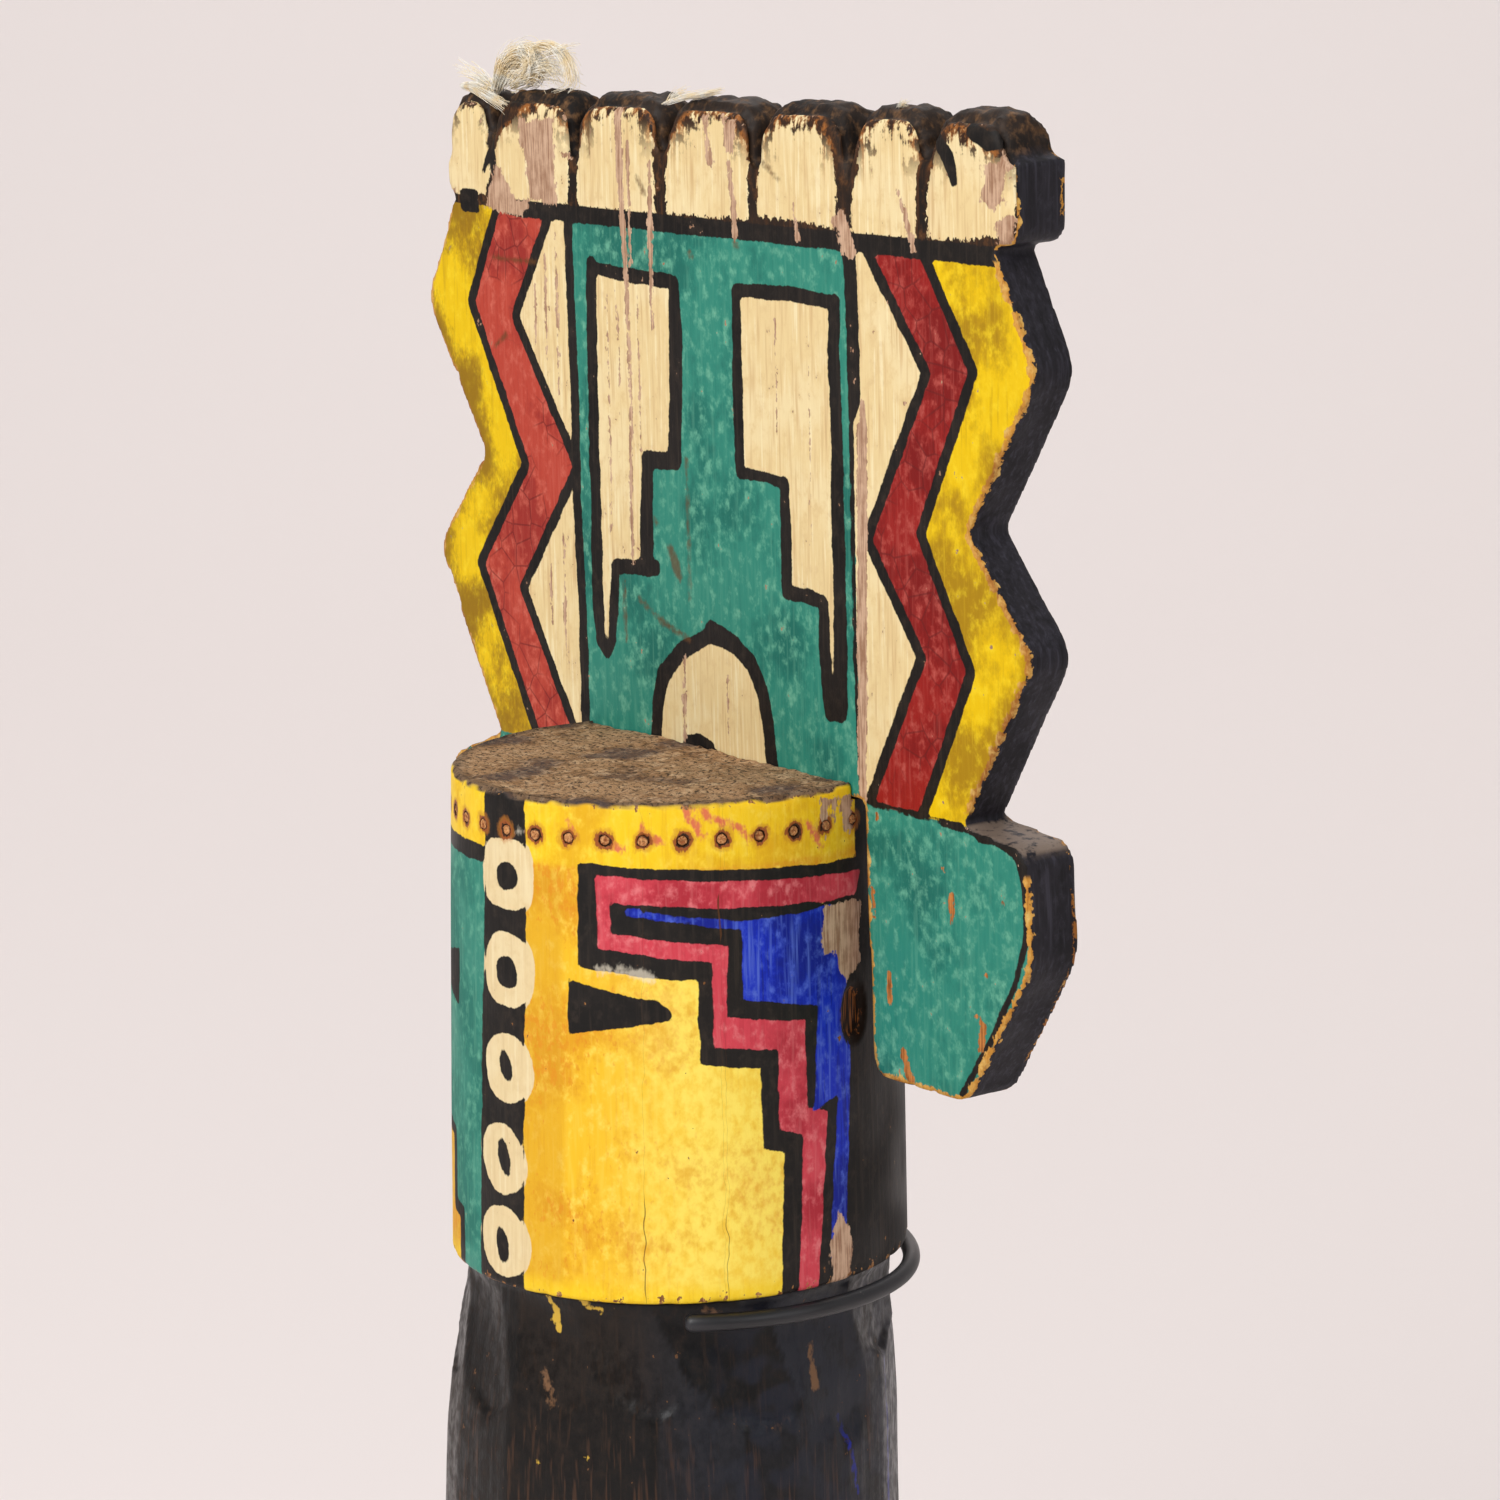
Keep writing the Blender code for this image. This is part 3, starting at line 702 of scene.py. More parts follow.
# %% How far each place is from the sawn edge, and how deep behind the front
sides = np.flatnonzero(np.abs(normals[:, 1]) < 0.55)
tree = KDTree(len(sides))
for index in sides:
    tree.insert((points[index, 0], 0.0, points[index, 2]), int(index))
tree.balance()
rim = np.array([tree.find((x, 0.0, z))[2] for x, _, z in points])
depth = points[:, 1] - BOARD_FRONT
facing_front = passage(-normals[:, 1], 0.3, 0.9)
upward = passage(normals[:, 2], 0.45, 0.85)
print("points on the sawn sides:", len(sides))

# %% [markdown]
# The sawn sides and the back show the plank's fibres. The tops of the seven lobes are burnt and
# brittle, with small pieces broken out, and the notches between them were split out with a blade.

# %% Raise the grain and wear the lobes
x, y, z = points.T
upper = passage(z, 196.0, 204.5)
fibres = swell(points, (0.9, 0.9, 16), 21) + 0.5 * swell(points, (2.2, 2.2, 30), 22)
push = 0.10 * swell(points, (18, 18, 26), 23)
push += fibres * np.where(facing_front > 0.5, 0.018, 0.07)
crumbled = passage(swell(points, 2.4, 24), 0.05, 0.9)
push -= upper * passage(rim, 3.0, 0.0) * 0.55 * crumbled
lumps = swell(points, (1.7, 1.7, 2.0), 27) + 0.6 * swell(points, 0.95, 28)
push += upper * (1 - facing_front) * 0.32 * lumps
rounded = passage(z, 191.0, 194.0) * passage(depth, 2.5, 0.5) * np.clip(1 - rim / 3.2, 0, 1) ** 2
push -= 1.0 * rounded
push += upper * (1 - facing_front) * 0.28 * swell(points, (1.4, 1.4, 2.6), 25)
chips = passage(swell(points, (2.5, 2.5, 4.5), 26), 0.25, 0.8)
push -= chips * passage(rim, 1.6, 0.2) * passage(depth, 2.2, 0.2) * 0.45
points = points + normals * push[:, None]
move_points(board_mesh, points)
print("carved by", round(float(push.min()), 2), "to", round(float(push.max()), 2), "mm")

# %% [markdown]
# ## What is painted on the board
#
# Zigzag borders in yellow and red run down both sides. Between them a turquoise field carries two
# stepped cream shapes and an arch, and the seven lobes above are cream with black lines between.

# %% The board's lines, in mm
LINE_B_LEFT = ((-64.6, 184.5), (-74.4, 165.6), (-57.9, 135.9), (-74.0, 115.4), (-56.8, 84.0), (-55.0, 80.0))
LINE_B_RIGHT = ((60.4, 184.5), (73.9, 164.6), (59.3, 135.7), (72.3, 113.5), (57.5, 84.0), (55.6, 80.0))
LINE_C_LEFT = ((-47.4, 184.5), (-59.9, 163.8), (-41.0, 137.1), (-59.9, 112.1), (-42.5, 84.0), (-40.0, 80.0))
LINE_C_RIGHT = ((44.8, 184.5), (61.5, 163.3), (44.8, 133.1), (59.1, 114.3), (42.7, 84.0), (40.5, 80.0))
LINE_D_LEFT = (
    (-42.0, 184.5, 2.7), (-41.7, 168.0, 2.7), (-41.1, 150.0, 2.6), (-41.4, 131.0, 2.8), (-41.0, 120.0, 2.6),
    (-40.6, 108.0, 2.7), (-40.7, 84.0, 2.7))
LINE_D_RIGHT = (
    (41.0, 184.5, 3.6), (41.7, 174.0, 3.6), (41.9, 157.0, 3.4), (40.9, 153.0, 1.2), (40.9, 129.0, 1.2),
    (41.0, 113.0, 1.2), (41.3, 104.5, 1.3), (41.7, 96.0, 1.4), (42.2, 84.0, 1.6))
BAND_LINE = ((-61.0, 184.2, 3.2), (0.0, 184.1, 3.1), (80.0, 184.1, 3.4))
LEFT_MOTIF_LINES = (
    ((-34.8, 175.3, 3.0), (-35.1, 168.7, 3.3), (-35.4, 150.2, 3.1), (-35.5, 140.9, 3.4), (-35.3, 131.5, 3.2),
     (-35.6, 122.1, 3.6), (-35.7, 112.7, 3.5), (-35.0, 105.3, 3.2), (-33.2, 103.2, 2.4)),
    ((-34.8, 174.7, 2.6), (-25.8, 174.1, 2.5), (-13.5, 173.9, 2.7), (-9.3, 173.6, 2.6)),
    ((-9.5, 173.4, 3.2), (-9.4, 161.5, 4.2), (-9.7, 152.5, 4.0), (-10.7, 141.5, 4.2)),
    ((-10.7, 141.3, 3.2), (-19.0, 140.6, 3.5)),
    ((-19.0, 140.6, 3.4), (-19.6, 130.6, 4.0), (-19.8, 120.9, 4.1)),
    ((-17.4, 120.9, 3.4), (-24.0, 120.2, 2.7), (-29.6, 119.7, 2.9)),
    ((-29.6, 119.7, 2.6), (-30.5, 113.4, 2.8), (-31.5, 105.7, 2.7), (-32.9, 103.3, 2.2)),
)
LEFT_MOTIF_INSIDE = (
    (-35.0, 174.5), (-9.4, 173.5), (-10.2, 141.4), (-19.0, 140.8), (-19.6, 120.4), (-29.6, 119.8),
    (-31.6, 104.5), (-33.2, 103.0), (-35.0, 105.0), (-35.6, 122.0), (-35.4, 150.0))
RIGHT_MOTIF_LINES = (
    ((8.9, 173.6, 2.5), (24.6, 174.1, 2.7), (36.9, 173.4, 2.6)),
    ((8.9, 173.6, 2.4), (8.8, 154.1, 3.0), (8.9, 145.2, 2.8), (9.0, 141.1, 2.5)),
    ((9.0, 141.1, 2.4), (16.3, 141.1, 1.8), (21.8, 140.4, 2.2)),
    ((21.8, 140.4, 2.8), (21.9, 128.7, 3.2), (22.0, 121.2, 3.2)),
    ((22.0, 121.2, 2.8), (28.0, 121.1, 2.8), (32.2, 120.5, 2.6)),
    ((32.2, 120.5, 2.8), (32.3, 114.0, 3.2), (32.9, 106.9, 3.3), (33.6, 101.3, 3.2)),
    ((36.9, 173.4, 3.0), (36.4, 165.3, 3.4), (37.0, 148.0, 3.3), (36.7, 139.2, 3.7), (37.0, 121.6, 3.6),
     (36.9, 112.8, 3.8), (36.7, 101.7, 3.7)),
    ((33.6, 101.2, 3.2), (36.7, 101.4, 3.4)),
)
RIGHT_MOTIF_INSIDE = (
    (8.9, 173.6), (36.9, 173.6), (36.8, 101.4), (33.6, 101.0), (32.3, 120.6), (22.0, 121.2), (21.8, 140.6),
    (9.0, 141.1))
ARCH = (
    (-18.7, 86.0, 3.2), (-17.5, 96.3, 3.4), (-15.7, 101.0, 3.8), (-10.3, 106.2, 3.2), (-2.6, 109.8, 3.0),
    (-0.4, 111.2, 4.4), (6.4, 109.7, 3.6), (11.3, 106.7, 3.4), (14.4, 101.7, 3.6), (15.6, 96.4, 3.4),
    (17.1, 86.0, 3.4))
BLACK_SQUARE = ((-77.0, 187.0), (-71.0, 186.6), (-70.6, 182.4), (-77.0, 182.4))
LEAF = ((-10.5, 88.0), (-9.6, 90.9), (-5.0, 92.1), (-1.2, 90.9), (1.5, 88.0))
LOBES = (
    ((-81.1, 186.6), (-80.3, 199.1), (-79.1, 203.0), (-76.3, 204.3), (-72.3, 204.9), (-68.7, 204.1),
     (-66.6, 202.2), (-66.3, 196.3), (-66.8, 189.4), (-68.5, 186.2), (-77.1, 185.7)),
    ((-61.9, 184.2), (-64.8, 189.5), (-65.3, 194.3), (-63.2, 197.5), (-59.8, 199.5), (-55.4, 202.6),
     (-50.6, 204.7), (-45.2, 205.1), (-43.3, 203.8), (-42.1, 200.2), (-41.6, 195.5), (-40.9, 190.8),
     (-41.9, 185.3)),
    ((-38.6, 185.2), (-38.6, 190.9), (-37.9, 195.7), (-36.3, 199.1), (-35.7, 201.8), (-32.5, 203.8),
     (-27.3, 205.4), (-21.6, 205.6), (-18.1, 204.4), (-15.9, 202.3), (-15.2, 198.8), (-14.6, 192.2),
     (-14.6, 185.6)),
    ((-11.3, 185.8), (-10.9, 193.7), (-10.1, 198.3), (-7.1, 201.6), (-3.9, 204.2), (0.0, 205.6), (5.9, 205.4),
     (9.3, 204.3), (10.9, 201.6), (12.3, 198.8), (12.9, 193.7), (12.9, 186.3)),
    ((15.5, 187.0), (16.1, 196.0), (17.3, 200.9), (20.2, 204.2), (24.0, 205.5), (31.2, 205.5), (33.7, 204.2),
     (35.7, 202.1), (37.1, 199.0), (38.1, 192.8), (37.5, 186.5)),
    ((41.6, 185.8), (42.1, 191.1), (43.7, 196.2), (44.6, 201.9), (46.1, 206.0), (50.3, 206.8), (56.2, 207.0),
     (59.1, 205.5), (59.8, 201.4), (59.6, 194.0), (59.0, 185.9)),
    ((62.6, 186.1), (62.1, 192.3), (63.0, 197.2), (64.8, 200.7), (66.6, 203.5), (69.7, 205.4), (72.5, 205.0),
     (76.3, 203.1), (80.0, 200.8), (84.2, 201.0), (85.1, 197.8), (84.2, 187.5)),
)
EAR_LINE = (
    (64.0, 86.0, 0.9), (74.0, 85.8, 1.2), (79.0, 85.2, 1.8), (83.6, 84.0, 2.2), (85.6, 79.6, 2.0),
    (86.0, 74.0, 1.6), (85.7, 69.2, 1.4), (82.9, 61.2, 1.4), (75.8, 49.2, 1.4), (68.0, 38.4, 1.3))
LOBE_STROKES = (
    ((-66.4, 197.0, 2.6), (-65.4, 190.5, 1.8), (-64.7, 187.2, 0.8)),
    ((-66.4, 194.9, 1.2), (-69.0, 190.2, 0.9)),
    ((64.4, 203.4, 2.0), (65.9, 201.9, 2.6), (68.0, 200.0, 3.2), (69.4, 196.2, 2.2)),
    ((74.0, 204.6, 2.6), (78.0, 203.0, 3.4), (82.6, 203.4, 2.6)),
)
EAR_PATCH = (
    (71.5, 86.6), (72.0, 85.4), (73.8, 84.2), (79.4, 84.7), (84.4, 83.7), (85.5, 81.1), (85.6, 74.2),
    (86.6, 71.1), (88.0, 72.0), (88.0, 84.0), (84.6, 87.0))
FOOT_LEFT = 83.2
FOOT_RIGHT = 86.4
print("lobes:", len(LOBES), "- corners in all:", sum(len(lobe) for lobe in LOBES))

# %% [markdown]
# Where two colours meet, the distances are joined: the nearest of several shapes, or one shape
# without another. The red zigzag is what lies outside the inner line but not outside the outer
# one, so both sides follow the same lines and no gap can open between colours.

# %% Where each colour lies on the board
def mirrored(points):
    """The same line on the other side of the board."""
    return tuple((-point[0],) + tuple(point[1:]) for point in points)


def board_fields(x, z):
    """Distance to the edge of each colour on the board's front."""
    foot = np.where(x < 0, FOOT_LEFT, FOOT_RIGHT)
    on_ear = foot - z
    lines = [LINE_B_LEFT, LINE_B_RIGHT, LINE_C_LEFT, LINE_C_RIGHT]
    ink = [stroke(x, z, line, 2.4) for line in lines]
    ink += [stroke(x, z, line) for line in (LINE_D_LEFT, LINE_D_RIGHT, ARCH)]
    ink = [np.maximum(line, on_ear) for line in ink]
    ink += [stroke(x, z, line) for line in LEFT_MOTIF_LINES + RIGHT_MOTIF_LINES + (EAR_LINE,)]
    ink += [np.maximum(stroke(x, z, mirrored(EAR_LINE)), z - 78.0)]
    ink += [stroke(x, z, ((44.0, 86.6), (69.0, 86.4)), 1.0)]
    ink += [stroke(x, z, line) for line in LOBE_STROKES + (BAND_LINE,)]
    ink += [area(x, z, patch) for patch in (LEAF, BLACK_SQUARE, EAR_PATCH)]
    far = 120.0

    def outside(left, right):
        return any_of(
            area(x, z, left + ((-far, 80.0), (-far, 184.5))), area(x, z, right + ((far, 80.0), (far, 184.5))))

    outside_b = outside(LINE_B_LEFT, LINE_B_RIGHT)
    outside_c = outside(LINE_C_LEFT, LINE_C_RIGHT)
    outside_d = outside(((-41.4, 184.5), (-41.2, 80.0)), ((41.4, 184.5), (41.4, 80.0)))
    arch_inside = area(x, z, [point[:2] for point in ARCH])
    cream = any_of(
        without(outside_d, outside_c), area(x, z, LEFT_MOTIF_INSIDE), area(x, z, RIGHT_MOTIF_INSIDE),
        arch_inside)
    cream = np.maximum(np.maximum(cream, on_ear), z - 184.0)
    lobes = any_of(*[area(x, z, lobe) for lobe in LOBES])
    return {
        "ink": any_of(*ink),
        "cream": any_of(cream, lobes),
        "red": np.maximum(np.maximum(without(outside_c, outside_b), on_ear), z - 184.0),
        "yellow": np.maximum(np.maximum(outside_b, on_ear), z - 184.0)}


print("black at the arch's crown:", board_fields(np.array([0.0]), np.array([110.0]))["ink"][0].round(1), "mm")

# %% [markdown]
# Water ran down the board and took paint with it: narrow upright streaks of bare, pinkish tan wood
# on the lobes and in the cream shapes, and a strip beside the right upright line.

# %% Bare streaks, stains and patches on the board
BARE_STREAKS = (
    ((-25.4, 203.5, 2.2), (-25.0, 190.0, 1.9), (-24.0, 172.0, 1.3), (-23.6, 150.0, 0.9), (-24.4, 132.0, 1.1),
     (-24.0, 121.0, 0.9)),
    ((-22.6, 198.0, 1.0), (-22.3, 176.0, 0.7)),
    ((-16.0, 195.0, 1.0), (-16.2, 182.0, 1.6), (-16.4, 173.5, 1.2), (-16.3, 164.0, 0.5)),
    ((7.6, 196.0, 1.2), (8.4, 190.0, 1.6), (9.1, 182.6, 1.4)),
    ((25.9, 189.6, 0.9), (26.9, 184.0, 1.4)),
    ((39.0, 188.7, 2.0), (41.6, 182.9, 3.2)),
    ((54.5, 193.8, 0.8), (56.5, 190.0, 1.2), (58.6, 184.0, 1.3)),
    ((44.0, 157.0, 1.0), (44.0, 152.0, 2.8), (43.7, 143.0, 2.9), (43.4, 130.8, 2.8), (43.0, 119.0, 2.8),
     (42.7, 104.7, 2.8), (42.4, 95.8, 2.6), (42.4, 87.0, 2.2)),
    ((-30.5, 170.0, 0.5), (-30.4, 150.0, 0.6), (-30.6, 126.0, 0.4)),
    ((-27.3, 171.0, 0.4), (-27.0, 158.0, 0.6), (-27.4, 140.0, 0.3)),
    ((-20.5, 172.0, 0.4), (-20.8, 156.0, 0.5), (-21.0, 142.0, 0.5)),
    ((-46.2, 180.0, 0.5), (-46.0, 164.0, 0.9), (-46.3, 150.0, 0.5)),
    ((-49.6, 176.0, 0.8), (-49.9, 160.0, 0.7), (-50.2, 151.0, 0.4)),
    ((-53.0, 170.0, 0.6), (-53.4, 158.0, 0.9)),
    ((-46.0, 124.0, 0.6), (-46.3, 108.0, 0.8), (-45.8, 98.0, 0.5)),
    ((-50.5, 118.0, 0.6), (-50.8, 106.0, 0.8)),
    ((20.0, 170.0, 0.3), (20.2, 160.0, 0.5), (20.0, 149.0, 0.3)),
    ((29.0, 168.0, 0.3), (29.2, 150.0, 0.4), (29.0, 130.0, 0.3)),
    ((-9.1, 105.8, 0.8), (-9.4, 90.0, 1.2)),
    ((4.0, 105.0, 0.4), (4.0, 92.0, 0.5)),
)
BARE_AREAS = (
    ((-57.2, 200.6), (-45.5, 201.4), (-45.4, 185.5), (-58.0, 185.7), (-64.9, 191.8), (-69.0, 183.6),
     (-61.0, 182.4), (-54.0, 184.0), (-55.0, 192.0)),
    ((80.9, 201.8), (86.5, 202.4), (83.7, 198.9), (80.9, 199.7)),
    ((5.4, 204.2), (9.4, 204.0), (9.2, 197.6), (6.8, 198.2)),
    ((-0.4, 204.0), (1.6, 204.0), (2.9, 195.4), (1.6, 195.4)),
    ((36.8, 188.3), (40.0, 188.8), (43.2, 183.0), (39.6, 182.6)),
    ((76.3, 199.4), (82.6, 199.5), (82.4, 193.7), (79.5, 191.6), (75.4, 192.8), (77.8, 196.7)),
    ((79.9, 190.0), (84.4, 190.6), (84.6, 184.8), (81.0, 184.6)),
)
print("runs of bare wood:", len(BARE_STREAKS), "and patches:", len(BARE_AREAS))

# %% [markdown]
# Brown stains and orange chips are marks of single knocks and drips. They are placed one by one
# where they are, because a random pattern would look evenly worn, which a handled object never is.

# %% Stains and chips on the board
STAINS = (
    ((-7.0, 141.8, 0.6), (-6.9, 128.0, 0.8), (-6.8, 116.3, 0.5)),
    ((-27.1, 117.5, 0.8), (-27.0, 106.3, 0.7)),
    ((-22.3, 114.4, 0.8), (-15.0, 111.0, 1.2), (-7.1, 108.9, 0.8)),
    ((-4.6, 179.2, 1.2), (-4.0, 178.8, 1.2)),
    ((8.6, 181.8, 1.2), (9.4, 181.4, 1.2)),
    ((-12.6, 125.1, 1.6), (-11.0, 122.0, 2.4), (-9.7, 119.6, 1.2)),
    ((-34.9, 201.8, 1.2), (-34.6, 195.2, 1.0)),
    ((-17.8, 189.4, 1.3), (-20.0, 191.9, 1.0)),
    ((17.2, 196.6, 1.0), (21.7, 193.8, 1.0)),
    ((-17.2, 130.0, 1.0), (-16.8, 129.4, 1.0)),
    ((-66.9, 174.6, 0.7), (-60.0, 174.3, 0.8), (-52.8, 174.5, 0.7)),
    ((-67.5, 157.2, 0.7), (-63.1, 160.0, 0.9)),
)

ORANGE_CHIPS = (
    ((66.2, 74.0, 1.0), (66.3, 71.5, 1.7), (66.1, 68.7, 0.6)),
    ((63.9, 78.4, 1.0), (64.0, 77.8, 0.8)),
    ((72.6, 53.9, 0.8), (74.3, 52.2, 1.9), (73.6, 48.2, 1.7)),
    ((52.6, 43.6, 1.7), (53.6, 40.4, 2.2), (54.9, 37.8, 1.8)),
    ((48.9, 56.7, 1.1), (49.1, 52.0, 1.4)),
    ((80.0, 76.8, 0.8), (80.0, 74.6, 0.8)),
    ((75.0, 61.6, 0.8), (75.1, 61.0, 0.8)),
    ((44.6, 71.0, 1.2), (45.0, 66.0, 0.9)),
    ((46.4, 84.8, 1.0), (46.2, 84.0, 0.8)),
    ((60.0, 38.6, 0.9), (60.4, 36.9, 1.0)),
)

x, y, z = points.T
fields = board_fields(x, z)
keep_values(
    board_mesh, **fields,
    bare=any_of(*[stroke(x, z, line) for line in BARE_STREAKS]),
    lost=any_of(*[area(x, z, patch) for patch in BARE_AREAS]),
    stain=any_of(*[stroke(x, z, line) for line in STAINS]),
    rim=rim,
    depth=depth,
    orange=any_of(*[stroke(x, z, line) for line in ORANGE_CHIPS]),
    upward=upward,
    height=z)
board = add_piece("headdress_board", board_mesh, "painted_board", "tableta_board")
print("stains:", len(STAINS), "orange chips:", len(ORANGE_CHIPS))

# %% [markdown]
# ## The peg ends
#
# Each hole round the rim still holds the root of a twig that once stood out of it. Broken twig ends
# are flat and splintered, and no two are equally long.

# %% Broken twig ends
peg_state = random.Random(5)
PEG_SIDES = 18
LONG_TWIG = 17


def twig_end(index, angle):
    """A round plug in its hole with a rough, slightly hollow end; one stands out further."""
    face = float(head_radius(PEG_Z))
    proud = peg_state.uniform(-0.35, 0.25)
    if index == LONG_TWIG:
        proud = 1.0
    tip = face + proud
    profile = [(1.0, face - PEG_LENGTH), (1.0, face - 1.6), (1.0, face - 0.5), (0.97, tip - 0.1)]
    profile += [(share, tip) for share in (0.82, 0.62, 0.38, 0.16)]
    placed = []
    for row, (share, out) in enumerate(profile):
        for column in range(PEG_SIDES):
            turn = 2 * math.pi * column / PEG_SIDES
            rough = peg_state.uniform(-0.16, 0.16) if row >= 4 else 0.0
            wavy = 1 + (peg_state.uniform(-0.05, 0.05) if row > 1 else 0.0)
            radius = PEG_RADIUS * share * wavy
            placed.append(along_radius(angle, out + rough, radius * math.cos(turn), radius * math.sin(turn)))
    inner = along_radius(angle, face - PEG_LENGTH, 0, 0)
    outer = along_radius(angle, tip - 0.25, 0, 0)
    rows = np.reshape(placed, (len(profile), PEG_SIDES, 3))
    mesh = closed_rings(f"twig_end_{index:02d}", rows, inner, outer)
    out = np.array([share for share, _ in profile for _ in range(PEG_SIDES)] + [0.0, 0.0])
    keep_values(mesh, out=out)
    return mesh


twig_ends = []
for index, angle in enumerate(peg_angles, start=1):
    mesh = twig_end(index, angle)
    twig_ends.append(add_piece(f"twig_end_{index:02d}", mesh, "twig", f"rim_peg_{index:02d}"))
print("twig ends:", len(twig_ends))

# %% [markdown]
# ## Feather down
#
# Down has no stiff shaft: hundreds of soft barbs spring from one root, keep together in curled locks
# and stray from them. Each barb is a thin three-sided tube that follows the guide line of its lock.
# The tuft was pressed into the first notch: a dense curl, a thin film that loops over to the right,
# a white lock lying on the lobes' front, and loose hairs.

# %% Locks of barbs
BARB_STEPS = 16


def smoothed(path):
    """The path with its corners cut three times, which makes a smooth curve of it."""
    for _ in range(3):
        first, second = path[:-1], path[1:]
        cut = np.stack([0.75 * first + 0.25 * second, 0.25 * first + 0.75 * second], 1).reshape(-1, 3)
        path = np.vstack([path[:1], cut, path[-1:]])
    return path


def down_mesh(name, seed, thickness, locks):
    """Barbs along every lock; a lock is its guide line, its number of barbs and how far they stray."""
    state = np.random.default_rng(seed)
    points, faces, tips = [], [], []
    for guide, count, stray in locks:
        guide = smoothed(np.array(guide, float))
        along = np.linspace(0, 1, len(guide))
        for barb in range(count):
            begin = state.uniform(0, 0.4)
            share = begin + (1 - begin) * state.uniform(0.4, 1.0) * np.linspace(0, 1, BARB_STEPS)
            spots = np.stack([np.interp(share, along, guide[:, axis]) for axis in range(3)], -1)
            grow = np.linspace(0.3, 1.0, BARB_STEPS)[:, None]
            wave = np.sin(state.uniform(0, 6.3) + state.uniform(3, 8) * share)[:, None]
            spots += state.normal(0, 1, 3) * stray * grow + state.normal(0, 0.45, 3) * stray * grow * wave
            size = thickness * np.linspace(1.0, 0.35, BARB_STEPS)
            start = len(points) * 3 * BARB_STEPS
            along_barb = np.gradient(spots, axis=0)
            side = np.cross(along_barb, (0.3, 1.0, 0.2))
            side /= np.linalg.norm(side, axis=1)[:, None]
            up = np.cross(along_barb, side)
            up /= np.linalg.norm(up, axis=1)[:, None]
            turns = 2 * math.pi * np.arange(3)[:, None, None] / 3 + barb
            ring = np.cos(turns) * side + np.sin(turns) * up
            points.append((spots + size[:, None] * ring).transpose(1, 0, 2).reshape(-1, 3))
            faces.append(grid_faces(BARB_STEPS, 3) + start)
            end = start + 3 * (BARB_STEPS - 1)
            tips += [(start + 2, start + 1, start), (end, end + 1, end + 2)]
    return build_mesh(name, np.concatenate(points), np.concatenate(faces), np.array(tips))


TUFT_LOCKS = (
    (((-70, 14, 204.5), (-68, 14, 208.5), (-65, 14, 211.6), (-60, 14.3, 213.0), (-56.6, 14.5, 211.0),
      (-58.5, 14.5, 208.0), (-62, 14.2, 207.6)), 260, 1.3),
    (((-68, 14.5, 205.5), (-64, 15, 211), (-57, 15.5, 214.2), (-50, 15, 213.4), (-46, 14.5, 210.4),
      (-44.6, 14, 207), (-49, 13.5, 206)), 70, 1.0),
    (((-66, 15, 206), (-60, 15.5, 209), (-53, 15.5, 210.5), (-48, 15, 208)), 130, 1.7),
    (((-79, 12.5, 205.8), (-74, 11.5, 206.0), (-68, 10.6, 204.8), (-61, 10.0, 203.0)), 150, 0.65),
    (((-70, 14, 205.5), (-74, 13.5, 208), (-79.5, 13, 209.6)), 36, 1.2),
    (((-56, 15, 212), (-49, 14.5, 214.0), (-43.5, 14, 214.6)), 16, 0.9),
)
MIDDLE_LOCKS = (
    (((-15, 12.5, 205.0), (-9, 12.3, 206.6), (-3, 12.3, 207.2), (3.6, 12, 208.4)), 90, 0.4),
    (((-14, 12.8, 205.2), (-11, 12.6, 207.0), (-7, 12.4, 207.8)), 30, 0.55),
)
RIGHT_LOCKS = ((((50.4, 13.5, 206.6), (52, 13.3, 207.8), (53.4, 13.2, 208.2)), 60, 0.45),)
DOWN = (
    ("feather_tuft", 7, 0.095, TUFT_LOCKS, ("down_tuft",)),
    ("feather_wisp_middle", 8, 0.075, MIDDLE_LOCKS, ()),
    ("feather_wisp_right", 9, 0.045, RIGHT_LOCKS, ()),
)
down = []
for name, seed, thickness, locks, nodes in DOWN:
    down.append(add_piece(name, down_mesh(name, seed, thickness, locks), "feather_down", *nodes))
print("barbs in the tuft:", sum(lock[1] for lock in TUFT_LOCKS))

# %% [markdown]
# ## The wire stand
#
# A length of steel rod about 3.2 mm thick was bent by hand round a former to make the ring, and
# was brazed to a thicker upright, which stands in a square foot. All of it is painted black.

# %% A tube along a path
def tube(name, path, radius, sides):
    """A round bar along path (mm), with rounded-over ends."""
    path = np.array(path, float)
    along = np.gradient(path, axis=0)
    along /= np.linalg.norm(along, axis=1)[:, None]
    side = np.cross(along, (0, 0, 1.0))
    side /= np.maximum(np.linalg.norm(side, axis=1), 1e-9)[:, None]
    up = np.cross(side, along)
    turn = np.arange(sides) * 2 * math.pi / sides
    circle = np.stack([np.cos(turn), np.sin(turn)], -1)
    rows = []
    rounding = ((1.3, 0.5), (0.95, 0.76), (0.5, 0.93))
    frames = [0] * 3 + list(range(len(path))) + [len(path) - 1] * 3
    centres = [path[0] - along[0] * out for out, _ in rounding] + list(path)
    centres += [path[-1] + along[-1] * out for out, _ in reversed(rounding)]
    ends = [width for _, width in rounding]
    widths = ends + [1.0] * len(path) + ends[::-1]
    for centre, width, index in zip(centres, widths, frames):
        rows.append(centre + radius * width * (circle[:, :1] * side[index] + circle[:, 1:] * up[index]))
    return closed_rings(name, rows, centres[0], centres[-1], turned=True)


